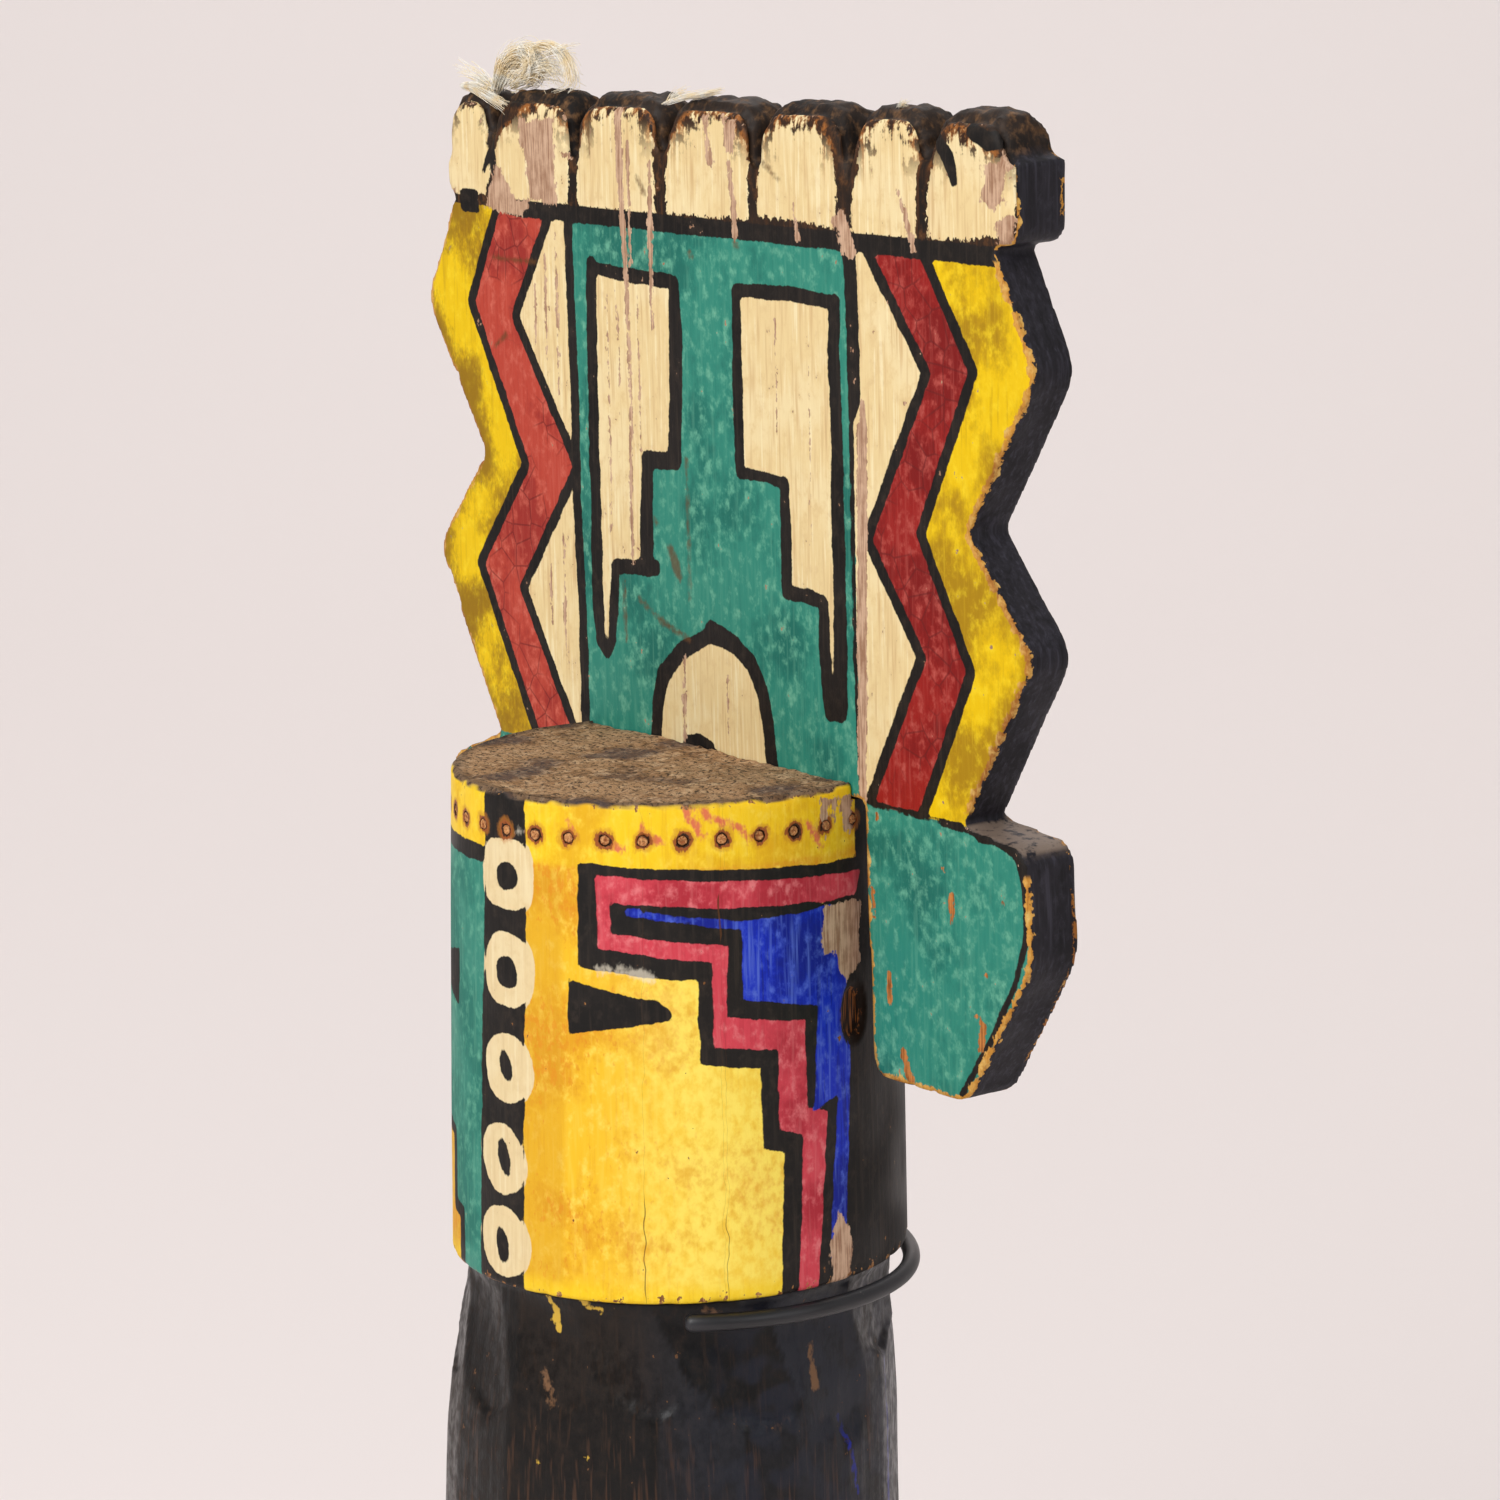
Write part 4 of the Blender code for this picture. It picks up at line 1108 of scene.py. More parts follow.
WIRE_RADIUS = 1.6
RING_RADIUS = 42.3
RING_Z = -4.4
RING_TILT = 0.018
RING_OPENING = math.radians(56.0)
ROD_ANGLE = math.radians(189.0)
ROD_RADIUS = 3.2
ROD_TOP = 0.6
PLATE_SIDE = 120.0
PLATE_THICKNESS = 5.0
FOOT_CORNER = 2.0
FOOT_EDGE = 0.8


def ring_point(angle, radius):
    """A place on the slightly tilted ring, at this angle and distance from its middle."""
    middle_x, middle_y = lean(RING_Z)
    rise = RING_TILT * radius * (1 + math.cos(angle))
    x = 0.5 * middle_x + radius * math.sin(angle)
    y = 0.5 * middle_y - radius * math.cos(angle)
    return (x, y, RING_Z + rise)


turns = np.linspace(RING_OPENING, 2 * math.pi - RING_OPENING, 120)
hand = 0.18 * np.sin(turns * 5.3) * np.sin(turns * 2.1)
ring_path = [ring_point(turn, RING_RADIUS + bump) for turn, bump in zip(turns, hand)]
wire = add_piece("wire_ring", tube("wire_ring", ring_path, WIRE_RADIUS, 24), "black_steel", "cradle_wire")

rod_x, rod_y, _ = ring_point(ROD_ANGLE, RING_RADIUS + WIRE_RADIUS + 0.3 + ROD_RADIUS)
rod_low = PLATE_THICKNESS + 0.3 - HEAD_BASE
print("the ring's wire runs through", len(ring_path), "points")

# %% [markdown]
# The upright is a straight bar and the foot a plate cut with shears, filed along its edges. A
# cylinder and a cube would have knife-sharp edges that catch no light, so both are rings of points
# too, with the last few rings drawn in.

# %% The upright and the foot
def upright_mesh():
    """The straight bar behind the stick, with its end edges taken off."""
    sides = 40
    heights = np.linspace(rod_low, ROD_TOP, 120)
    radii = np.full(len(heights), ROD_RADIUS)
    radii[0] -= 0.35
    radii[-1] -= 0.5
    turn = np.arange(sides) * 2 * math.pi / sides
    rows = []
    for height, radius in zip(heights, radii):
        level = np.full(sides, height)
        rows.append(np.stack([rod_x + radius * np.cos(turn), rod_y + radius * np.sin(turn), level], -1))
    return closed_rings("upright_rod", rows, (rod_x, rod_y, rod_low), (rod_x, rod_y, ROD_TOP))


def rounded_square(half, corner):
    """The foot's outline: four rounded corners with a run of points along each side."""
    arcs = []
    for quarter, middle in enumerate(((1, 1), (-1, 1), (-1, -1), (1, -1))):
        turns = np.radians(90 * quarter + np.linspace(0, 90, 9))
        round_part = corner * np.stack([np.cos(turns), np.sin(turns)], -1)
        arcs.append(np.array(middle) * (half - corner) + round_part)
    shares = np.linspace(0, 1, 41)[1:-1, None]
    outline = []
    for arc, following in zip(arcs, arcs[1:] + arcs[:1]):
        outline += [arc, arc[-1] + (following[0] - arc[-1]) * shares]
    return np.vstack(outline)


def foot_mesh():
    """A square plate with its corners and edges rounded with a file, and faint unevenness."""
    half = PLATE_SIDE / 2
    outline = rounded_square(half, FOOT_CORNER)
    scales = [0.02, *np.linspace(0.1, 0.97, 24)]
    bends = []
    for turn in np.radians((90, 60, 30, 0)):
        bends.append((1 - FOOT_EDGE * (1 - math.cos(turn)) / half, FOOT_EDGE * (1 - math.sin(turn))))
    profile = [(scale, 0.0) for scale in scales] + bends
    profile += [(scale, PLATE_THICKNESS - rise) for scale, rise in bends[::-1]]
    profile += [(scale, PLATE_THICKNESS) for scale in scales[::-1]]
    rows = [np.column_stack([outline * scale, np.full(len(outline), height)]) for scale, height in profile]
    for row in rows[-len(scales):]:
        row[:, 2] -= 0.05 * passage(swell(row, 13.0, 31), -0.6, 0.8)
    rows = [row - (0, 0, HEAD_BASE) for row in rows]
    return closed_rings("foot_plate", rows, (0, 0, -HEAD_BASE), (0, 0, PLATE_THICKNESS - 0.02 - HEAD_BASE))


rod = add_piece("upright_rod", upright_mesh(), "black_steel", "stand_rod")
plate = add_piece("foot_plate", foot_mesh(), "black_steel", "stand_plate")
print("upright from", round(rod_low, 1), "to", ROD_TOP, "mm")

# %% [markdown]
# ## Finishes
#
# The finishes are built from shared effects, each a node group: the marks of the hand, a painted
# edge that wavers, brushed paint with thin and thick places, bare wood, chips and hair cracks.
# They are put together by a few short helpers, so that each recipe reads as a list of steps.

# %% Helpers for shader nodes
def srgb(red, green, blue):
    """A colour as it is named on a screen, from 0 to 255, as the shader's linear values."""
    shares = [channel / 255 for channel in (red, green, blue)]
    return (*[s / 12.92 if s <= 0.04045 else ((s + 0.055) / 1.055) ** 2.4 for s in shares], 1.0)


def put(tree, socket, value):
    """Link a socket to the input, or set the input's own value."""
    if isinstance(value, bpy.types.NodeSocket):
        tree.links.new(value, socket)
    else:
        socket.default_value = value


def node(tree, kind, inputs=None, **settings):
    made = tree.nodes.new("ShaderNode" + kind)
    for name, value in settings.items():
        setattr(made, name, value)
    for key, value in (inputs or {}).items():
        put(tree, made.inputs[key], value)
    return made


def maths(tree, operation, *values):
    made = node(tree, "Math", operation=operation)
    for socket, value in zip(made.inputs, values):
        put(tree, socket, value)
    return made.outputs[0]


def blend(tree, share, first, second):
    """The first colour where share is 0 and the second where it is 1."""
    made = node(tree, "Mix", data_type="RGBA")
    for index, value in ((0, share), (6, first), (7, second)):
        put(tree, made.inputs[index], value)
    return made.outputs[2]


def between(tree, value, start, end, low=0.0, high=1.0):
    """low up to start, high from end, and a smooth passage between them."""
    made = node(tree, "MapRange", {
        "Value": value, "From Min": start, "From Max": end, "To Min": low, "To Max": high},
        interpolation_type="SMOOTHSTEP")
    return made.outputs[0]


def added(tree, base, *terms):
    """base plus each value times its amount."""
    for value, amount in terms:
        base = maths(tree, "MULTIPLY_ADD", value, amount, base)
    return base


def both(tree, *shares):
    """All the shares multiplied: high only where every one of them is."""
    total = shares[0]
    for share in shares[1:]:
        total = maths(tree, "MULTIPLY", total, share)
    return total


def either(tree, *shares):
    """The highest of the shares."""
    total = shares[0]
    for share in shares[1:]:
        total = maths(tree, "MAXIMUM", total, share)
    return total


print("a named colour in the shader:", [round(value, 3) for value in srgb(46, 133, 115)[:3]])


# %% [markdown]
# Three more helpers make a noise of a given size in mm, read a value stored on the points, and
# build or place a shared group.

# %% Noise, stored values and groups
def clouds(tree, place, size, detail=3.0, rough=0.5, scale=(1, 1, 1), shift=0.0):
    """Soft noise from 0 to 1 with spots about size mm wide, drawn out along an axis scaled below 1."""
    if scale != (1, 1, 1) or shift:
        mapping = {"Vector": place, "Scale": scale, "Location": (shift, shift * 0.7, shift * 0.4)}
        place = node(tree, "Mapping", mapping).outputs[0]
    settings = {"Vector": place, "Scale": 1000 / size, "Detail": detail, "Roughness": rough}
    return node(tree, "TexNoise", settings).outputs[0]


def stored(tree, name):
    return node(tree, "Attribute", attribute_name=name).outputs["Fac"]


def new_group(name, inputs, outputs):
    tree = bpy.data.node_groups.new(name, "ShaderNodeTree")
    for label, kind, value in inputs:
        socket = tree.interface.new_socket(label, in_out="INPUT", socket_type="NodeSocket" + kind)
        socket.default_value = value
    for label, kind in outputs:
        tree.interface.new_socket(label, in_out="OUTPUT", socket_type="NodeSocket" + kind)
    start = tree.nodes.new("NodeGroupInput")
    end = tree.nodes.new("NodeGroupOutput")
    return tree, start.outputs, end.inputs


def use(tree, shared, inputs):
    made = node(tree, "Group", node_tree=shared)
    for key, value in inputs.items():
        put(tree, made.inputs[key], value)
    return made.outputs


print("groups so far:", len(bpy.data.node_groups))

# %% [markdown]
# **The marks of the hand.** Seven noises serve every painted surface: two that make an edge waver
# and break up, blots and wide tones of paint that dried unevenly, the brush's upright streaks, the
# wood's fibres and fine specks. All finishes of a piece share them, which also keeps it quick.

# %% The marks of the hand
hand_work, given, result = new_group(
    "hand work", [("Grain", "Float", 0.055)],
    [("Waver", "Float"), ("Break", "Float"), ("Blots", "Float"), ("Wide", "Float"), ("Streaks", "Float"),
     ("Fibres", "Float"), ("Speck", "Float")])
place = node(hand_work, "TexCoord").outputs["Object"]
parts = node(hand_work, "SeparateXYZ", {"Vector": place}).outputs
drawn_out = node(hand_work, "CombineXYZ", {
    0: parts[0], 1: parts[1], 2: maths(hand_work, "MULTIPLY", parts[2], given["Grain"])}).outputs[0]
waver = clouds(hand_work, place, 5.0, 1.0)
broken = clouds(hand_work, place, 1.1, 2.0, 0.7, (1, 1, 0.6))
put(hand_work, result["Waver"], maths(hand_work, "SUBTRACT", waver, 0.5))
put(hand_work, result["Break"], maths(hand_work, "SUBTRACT", broken, 0.5))
put(hand_work, result["Blots"], clouds(hand_work, place, 2.1, 3.0, 0.62, (1, 1, 0.8), 0.3))
put(hand_work, result["Wide"], clouds(hand_work, place, 15.0, 1.0, 0.5))
put(hand_work, result["Streaks"], clouds(hand_work, drawn_out, 1.0, 2.0, 0.62))
put(hand_work, result["Fibres"], clouds(hand_work, drawn_out, 0.42, 1.0, 0.6, (1, 1, 1), 0.5))
put(hand_work, result["Speck"], clouds(hand_work, place, 0.55, 2.0, 0.6))
print(hand_work.name, "has", len(hand_work.nodes), "nodes")

# %% [markdown]
# **A painted edge.** A brush line wavers by a few tenths of a millimetre and its edge breaks up on
# the grain. The group takes the stored distance, shifts it with the two noises and cuts it.

# %% Painted edge
painted_edge, given, result = new_group(
    "painted edge",
    [("Distance", "Float", 0.0), ("Waver noise", "Float", 0.0), ("Break noise", "Float", 0.0),
     ("Waver", "Float", 0.8), ("Break", "Float", 0.6), ("Soft", "Float", 0.12)],
    [("Mask", "Float")])
shifted = maths(painted_edge, "MULTIPLY_ADD", given["Waver noise"], given["Waver"], given["Distance"])
shifted = maths(painted_edge, "MULTIPLY_ADD", given["Break noise"], given["Break"], shifted)
soft_side = maths(painted_edge, "MULTIPLY", given["Soft"], -1.0)
put(painted_edge, result["Mask"], between(painted_edge, shifted, given["Soft"], soft_side))
print(painted_edge.name, "has", len(painted_edge.nodes), "nodes")

# %% [markdown]
# **Brushed paint.** Water paint dries thin in some places and thick in others, in blots and along
# the brush's upright strokes. Thin places let the lighter ground through.

# %% Brushed paint
brushed_paint, given, result = new_group(
    "brushed paint",
    [("Colour", "Color", (0.5, 0.5, 0.5, 1)), ("Thin", "Color", (0.7, 0.7, 0.7, 1)),
     ("Thick", "Color", (0.3, 0.3, 0.3, 1)), ("Blot noise", "Float", 0.5), ("Wide noise", "Float", 0.5),
     ("Streak noise", "Float", 0.5), ("Blots", "Float", 0.5), ("Streaks", "Float", 0.5)],
    [("Colour", "Color")])
thin_blots = both(brushed_paint, between(brushed_paint, given["Blot noise"], 0.46, 0.80), given["Blots"])
thin_lines = both(brushed_paint, between(brushed_paint, given["Streak noise"], 0.48, 0.76), given["Streaks"])
thick_blots = maths(brushed_paint, "MULTIPLY_ADD", given["Blot noise"], -0.5, given["Wide noise"])
thick = both(brushed_paint, between(brushed_paint, thick_blots, 0.18, 0.46), given["Blots"])
dark_lines = both(brushed_paint, between(brushed_paint, given["Streak noise"], 0.46, 0.32), given["Streaks"])
colour = blend(brushed_paint, either(brushed_paint, thick, dark_lines), given["Colour"], given["Thick"])
colour = blend(brushed_paint, either(brushed_paint, thin_blots, thin_lines), colour, given["Thin"])
put(brushed_paint, result["Colour"], colour)
print(brushed_paint.name, "has", len(brushed_paint.nodes), "nodes")

# %% [markdown]
# **Bare wood.** Where paint is gone the soft wood shows as pinkish tan with thin darker fibres. A
# wave texture would give even rings, but this wood has broken, wandering fibres, so the tone comes
# from the drawn-out noise and the blots together.

# %% Bare wood
bare_wood, given, result = new_group(
    "bare wood",
    [("Light", "Color", srgb(198, 160, 134)), ("Dark", "Color", srgb(128, 90, 66)),
     ("Fibre noise", "Float", 0.5), ("Blot noise", "Float", 0.5)],
    [("Colour", "Color")])
tone = maths(bare_wood, "MULTIPLY_ADD", given["Fibre noise"], 0.65, both(bare_wood, given["Blot noise"], 0.4))
put(bare_wood, result["Colour"], blend(
    bare_wood, between(bare_wood, tone, 0.40, 0.68), given["Light"], given["Dark"]))
print(bare_wood.name, "has", len(bare_wood.nodes), "nodes")

# %% [markdown]
# **Chips and hair cracks.** Small flakes of paint have come off everywhere, and more of them near
# an edge: each material gives the amount. A hair crack is a thin upright line of given ends.

# %% Chips and hair cracks
chips_group, given, result = new_group(
    "chips",
    [("Amount", "Float", 0.2), ("Blot noise", "Float", 0.5), ("Break noise", "Float", 0.0)],
    [("Mask", "Float")])
uneven = maths(chips_group, "MULTIPLY_ADD", given["Break noise"], 0.55, given["Blot noise"])
limit = maths(chips_group, "MULTIPLY_ADD", given["Amount"], -0.42, 0.80)
over = maths(chips_group, "SUBTRACT", uneven, limit)
put(chips_group, result["Mask"], between(chips_group, over, -0.01, 0.012))

hair_crack, given, result = new_group(
    "hair crack",
    [("Across", "Float", 0.0), ("Height", "Float", 0.0), ("Waver noise", "Float", 0.0),
     ("Place", "Float", 0.0), ("Low", "Float", 0.0), ("High", "Float", 1.0), ("Width", "Float", 0.2)],
    [("Mask", "Float")])
off = maths(hair_crack, "SUBTRACT", given["Across"], given["Place"])
off = maths(hair_crack, "ABSOLUTE", maths(hair_crack, "MULTIPLY_ADD", given["Waver noise"], 1.6, off))
middle = maths(hair_crack, "MULTIPLY", maths(hair_crack, "ADD", given["Low"], given["High"]), 0.5)
half = maths(hair_crack, "MULTIPLY", maths(hair_crack, "SUBTRACT", given["High"], given["Low"]), 0.5)
away = maths(hair_crack, "ABSOLUTE", maths(hair_crack, "SUBTRACT", given["Height"], middle))
left_over = maths(hair_crack, "DIVIDE", away, half)
width = both(hair_crack, given["Width"], between(hair_crack, left_over, 1.0, 0.6))
put(hair_crack, result["Mask"], between(hair_crack, maths(hair_crack, "SUBTRACT", off, width), 0.06, -0.06))
print("shared effects:", ", ".join(group.name for group in bpy.data.node_groups))

# %% [markdown]
# ## The board's paint
#
# The layers go on as they did on the real board: turquoise first, then cream, red and yellow, then
# the black lines. Bare wood and chips come last, because they are what went missing. The lobes'
# ground is dark and their cream stops short of the edge; the sawn sides are bluish black, and along
# the front edge paint and black have chipped off down to orange wood and yellow flakes.

# %% The board's material
CREAM = (srgb(230, 206, 152), srgb(206, 172, 122), srgb(241, 226, 182))
TEAL = (srgb(46, 133, 115), srgb(112, 180, 152), srgb(28, 104, 92))
LEFT_RED = (srgb(182, 66, 50), srgb(210, 110, 92), srgb(144, 40, 36))
RIGHT_RED = (srgb(148, 28, 24), srgb(196, 96, 86), srgb(116, 18, 18))
YELLOW = (srgb(230, 190, 0), srgb(242, 212, 40), srgb(158, 116, 14))
BLACK = (srgb(26, 22, 20), srgb(58, 48, 40), srgb(15, 13, 12))
SIDE_BLACK = (srgb(36, 34, 40), srgb(62, 60, 70), srgb(20, 19, 22))
LOBE_GROUND = (srgb(44, 30, 21), srgb(104, 66, 34), srgb(26, 19, 15))
SOOT = (srgb(42, 32, 26), srgb(122, 88, 56), srgb(20, 16, 14))
OCHRE = (srgb(198, 138, 52), srgb(226, 192, 112), srgb(146, 88, 36))


def new_material(name):
    material = bpy.data.materials.new(name)
    material.use_nodes = True
    tree = material.node_tree
    return material, tree, tree.nodes["Principled BSDF"]


def paint(tree, work, colours, blots, streaks):
    colour, thin, thick = colours
    noises = {"Blot noise": work["Blots"], "Wide noise": work["Wide"], "Streak noise": work["Streaks"]}
    amounts = {"Colour": colour, "Thin": thin, "Thick": thick, "Blots": blots, "Streaks": streaks}
    return use(tree, brushed_paint, {**noises, **amounts})[0]


def edge(tree, work, distance, waver=0.8, broken=0.6, soft=0.12):
    noises = {"Waver noise": work["Waver"], "Break noise": work["Break"]}
    return use(tree, painted_edge, {
        **noises, "Distance": distance, "Waver": waver, "Break": broken, "Soft": soft})[0]


def chips_of(tree, work, amount):
    noises = {"Blot noise": work["Blots"], "Break noise": work["Break"]}
    return use(tree, chips_group, {**noises, "Amount": amount})[0]


def wood_of(tree, work, light=srgb(204, 170, 142), dark=srgb(154, 116, 90)):
    noises = {"Fibre noise": work["Fibres"], "Blot noise": work["Blots"]}
    return use(tree, bare_wood, {**noises, "Light": light, "Dark": dark})[0]


def board_design(tree, work, parts, across, height, rim, on_lobes):
    """The painted layers of the board's front, from the first coat to the black lines."""
    cream_edge = stored(tree, "cream")
    grounds = paint(tree, work, TEAL, 0.9, 0.25), paint(tree, work, LOBE_GROUND, 0.9, 0.5)
    ground = blend(tree, on_lobes, *grounds)
    right_side = between(tree, across, -5.0, 5.0)
    reds = paint(tree, work, LEFT_RED, 0.8, 0.3), paint(tree, work, RIGHT_RED, 0.8, 0.3)
    red = blend(tree, right_side, *reds)
    flat_place = node(tree, "CombineXYZ", {0: parts[0], 1: parts[2]}).outputs[0]
    settings = {"feature": "DISTANCE_TO_EDGE", "voronoi_dimensions": "2D"}
    crackle = node(tree, "TexVoronoi", {"Vector": flat_place, "Scale": 210.0}, **settings).outputs["Distance"]
    cracked = both(tree, between(tree, crackle, 0.05, 0.02), between(tree, work["Wide"], 0.42, 0.56), 0.55)
    red = blend(tree, cracked, red, srgb(96, 24, 24))
    ragged = both(tree, on_lobes, 2.2)
    cream_mask = edge(tree, work, cream_edge, 1.2, maths(tree, "ADD", ragged, 0.8))
    colour = blend(tree, cream_mask, ground, paint(tree, work, CREAM, 0.45, 0.85))
    colour = blend(tree, edge(tree, work, stored(tree, "red"), 0.5, 0.5), colour, red)
    yellow = paint(tree, work, YELLOW, 0.8, 0.3)
    clouded = added(tree, work["Wide"], (work["Break"], 0.5), (between(tree, rim, 6.0, 0.5), 0.14))
    left_side = between(tree, across, -50.0, -60.0, 0.25, 0.8)
    dirty = both(tree, between(tree, clouded, 0.46, 0.72), left_side)
    yellow = blend(tree, dirty, yellow, srgb(140, 104, 18))
    colour = blend(tree, edge(tree, work, stored(tree, "yellow"), 0.5, 0.5), colour, yellow)
    crest = both(tree, on_lobes, between(tree, height, 194.0, 203.0))
    uneven = added(tree, cream_edge, (work["Blots"], 16.0), (work["Streaks"], 8.0))
    scorched = both(tree, crest, between(tree, uneven, 9.0, 11.0), between(tree, cream_edge, 1.4, 0.2))
    scorch_tone = blend(tree, between(tree, work["Blots"], 0.42, 0.58), srgb(156, 96, 44), srgb(54, 34, 22))
    colour = blend(tree, scorched, colour, scorch_tone)
    ink = edge(tree, work, stored(tree, "ink"), 0.8, 0.7)
    return blend(tree, ink, colour, paint(tree, work, BLACK, 0.6, 0.5))


for side_name, colours in (("left", LEFT_RED), ("right", RIGHT_RED)):
    print(side_name, "red of the board:", [round(value, 3) for value in colours[0][:3]])


# %% [markdown]
# What came off the front is laid over the painted layers, because it was lost after them: bare
# wood in runs and patches, stains, orange knocks and yellow flakes along the rim.

# %% What is worn off the front
def board_losses(tree, work, colour, rim, on_lobes, not_ear_top, ochre):
    """The front's colour with its losses, and where it is chipped."""
    wood = wood_of(tree, work)
    near_rim = between(tree, rim, 2.6, 0.2)
    chipped = chips_of(tree, work, maths(tree, "MULTIPLY_ADD", near_rim, 0.30, 0.10))
    bare = either(tree,
                  edge(tree, work, stored(tree, "bare"), 1.0, 1.8, 0.1),
                  edge(tree, work, stored(tree, "lost"), 3.0, 3.4, 0.2),
                  chipped)
    colour = blend(tree, bare, colour, wood)
    stain = both(tree, edge(tree, work, stored(tree, "stain"), 1.2, 1.6, 0.5), 0.75)
    colour = blend(tree, stain, colour, srgb(96, 62, 30))
    orange = edge(tree, work, stored(tree, "orange"), 0.8, 1.8, 0.1)
    colour = blend(tree, orange, colour, wood_of(tree, work, srgb(196, 128, 66), srgb(136, 78, 34)))
    flaked = maths(tree, "MULTIPLY_ADD", work["Blots"], -4.0, rim)
    flaked = both(tree, between(tree, flaked, -1.05, -1.35), between(tree, on_lobes, 1.0, 0.0), not_ear_top)
    return blend(tree, flaked, colour, ochre), chipped


print("flakes along the rim:", [round(value, 3) for value in OCHRE[0][:3]])


# %% [markdown]
# The sawn sides and the back have one dull coat of black. It is chipped along both edges, sooty
# over the lobes, and dusty where a surface looks up.

# %% The sawn sides and the back
def board_sides(tree, work, across, height, rim, depth, not_ear_top, ochre):
    """The colour of the sides and of the back."""
    side = paint(tree, work, SIDE_BLACK, 0.5, 0.7)
    front_chips = maths(tree, "MULTIPLY_ADD", work["Blots"], -5.0, depth)
    back_chips = maths(tree, "MULTIPLY_ADD", work["Blots"], 5.0, depth)
    chipped_side = both(tree, between(tree, front_chips, -1.65, -1.85), not_ear_top)
    side = blend(tree, chipped_side, side, ochre)
    back_edge = between(tree, maths(tree, "MULTIPLY_ADD", work["Blots"], 9.0, rim), 4.3, 4.0)
    side = blend(tree, both(tree, between(tree, back_chips, 11.6, 11.9), back_edge), side, ochre)
    not_end = either(tree, between(tree, across, 84.0, 82.0), between(tree, height, 200.5, 202.5))
    high_side = both(tree, between(tree, height, 186.0, 190.0), not_end)
    side = blend(tree, high_side, side, paint(tree, work, SOOT, 0.9, 0.1))
    dusty = between(tree, work["Blots"], 0.36, 0.52)
    dust = both(tree, stored(tree, "upward"), between(tree, height, 100.0, 95.0), dusty)
    return blend(tree, dust, side, srgb(122, 106, 94))


def board_material():
    material, tree, shader = new_material("painted board")
    work = use(tree, hand_work, {})
    place = node(tree, "TexCoord").outputs["Object"]
    parts = node(tree, "SeparateXYZ", {"Vector": place}).outputs
    across = maths(tree, "MULTIPLY", parts[0], 1000.0)
    height, rim, depth = stored(tree, "height"), stored(tree, "rim"), stored(tree, "depth")
    on_lobes = between(tree, height, 182.8, 183.8)
    over_ear = both(tree, between(tree, height, 79.5, 81.0), between(tree, height, 90.0, 88.0))
    not_ear_top = between(tree, both(tree, over_ear, between(tree, across, 66.0, 68.0)), 1.0, 0.0)
    ochre = paint(tree, work, OCHRE, 0.9, 0.6)
    colour = board_design(tree, work, parts, across, height, rim, on_lobes)
    colour, chipped = board_losses(tree, work, colour, rim, on_lobes, not_ear_top, ochre)
    side = board_sides(tree, work, across, height, rim, depth, not_ear_top, ochre)
    turned = between(tree, maths(tree, "MULTIPLY_ADD", work["Break"], 0.8, depth), 0.25, 0.42)
    colour = blend(tree, turned, colour, side)
    put(tree, shader.inputs["Base Color"], colour)
    put(tree, shader.inputs["Roughness"], between(tree, work["Wide"], 0.3, 0.7, 0.5, 0.72))
    relief = maths(tree, "MULTIPLY_ADD", work["Streaks"], 0.5, maths(tree, "MULTIPLY", work["Break"], 0.5))
    relief = maths(tree, "MULTIPLY_ADD", chipped, -0.5, relief)
    bump = node(tree, "Bump", {"Height": relief, "Strength": 0.5, "Distance": 0.0002})
    put(tree, shader.inputs["Normal"], bump.outputs[0])
    shader.inputs["Specular IOR Level"].default_value = 0.2
    return material


board.data.materials.append(board_material())
print("board material:", len(board.data.materials[0].node_tree.nodes), "nodes")

# %% [markdown]
# ## The stick's paint
#
# The head has the same layers as the board over a turquoise ground. An image texture could carry
# them, but it would blur close up. Layers that are cut from distances stay sharp, and smears, bare
# patches, the stained rings round the pegs and the painted shade in their holes use the same means.

# %% The head's paint
FRESH_YELLOW = (srgb(246, 206, 24), srgb(252, 224, 84), srgb(216, 158, 20))
FACE_YELLOW = (srgb(240, 190, 34), srgb(250, 220, 96), srgb(220, 152, 24))
HEAD_RED = (srgb(208, 66, 80), srgb(232, 136, 138), srgb(166, 36, 50))
BLUE = (srgb(14, 44, 190), srgb(92, 118, 214), srgb(8, 22, 122))
BODY_BLACK = (srgb(11, 10, 10), srgb(44, 31, 22), srgb(6, 5, 6))
HEAD_CREAM = (srgb(228, 206, 158), srgb(208, 180, 134), srgb(240, 226, 186))
FELT = (srgb(170, 134, 98), srgb(206, 174, 138), srgb(120, 84, 50))


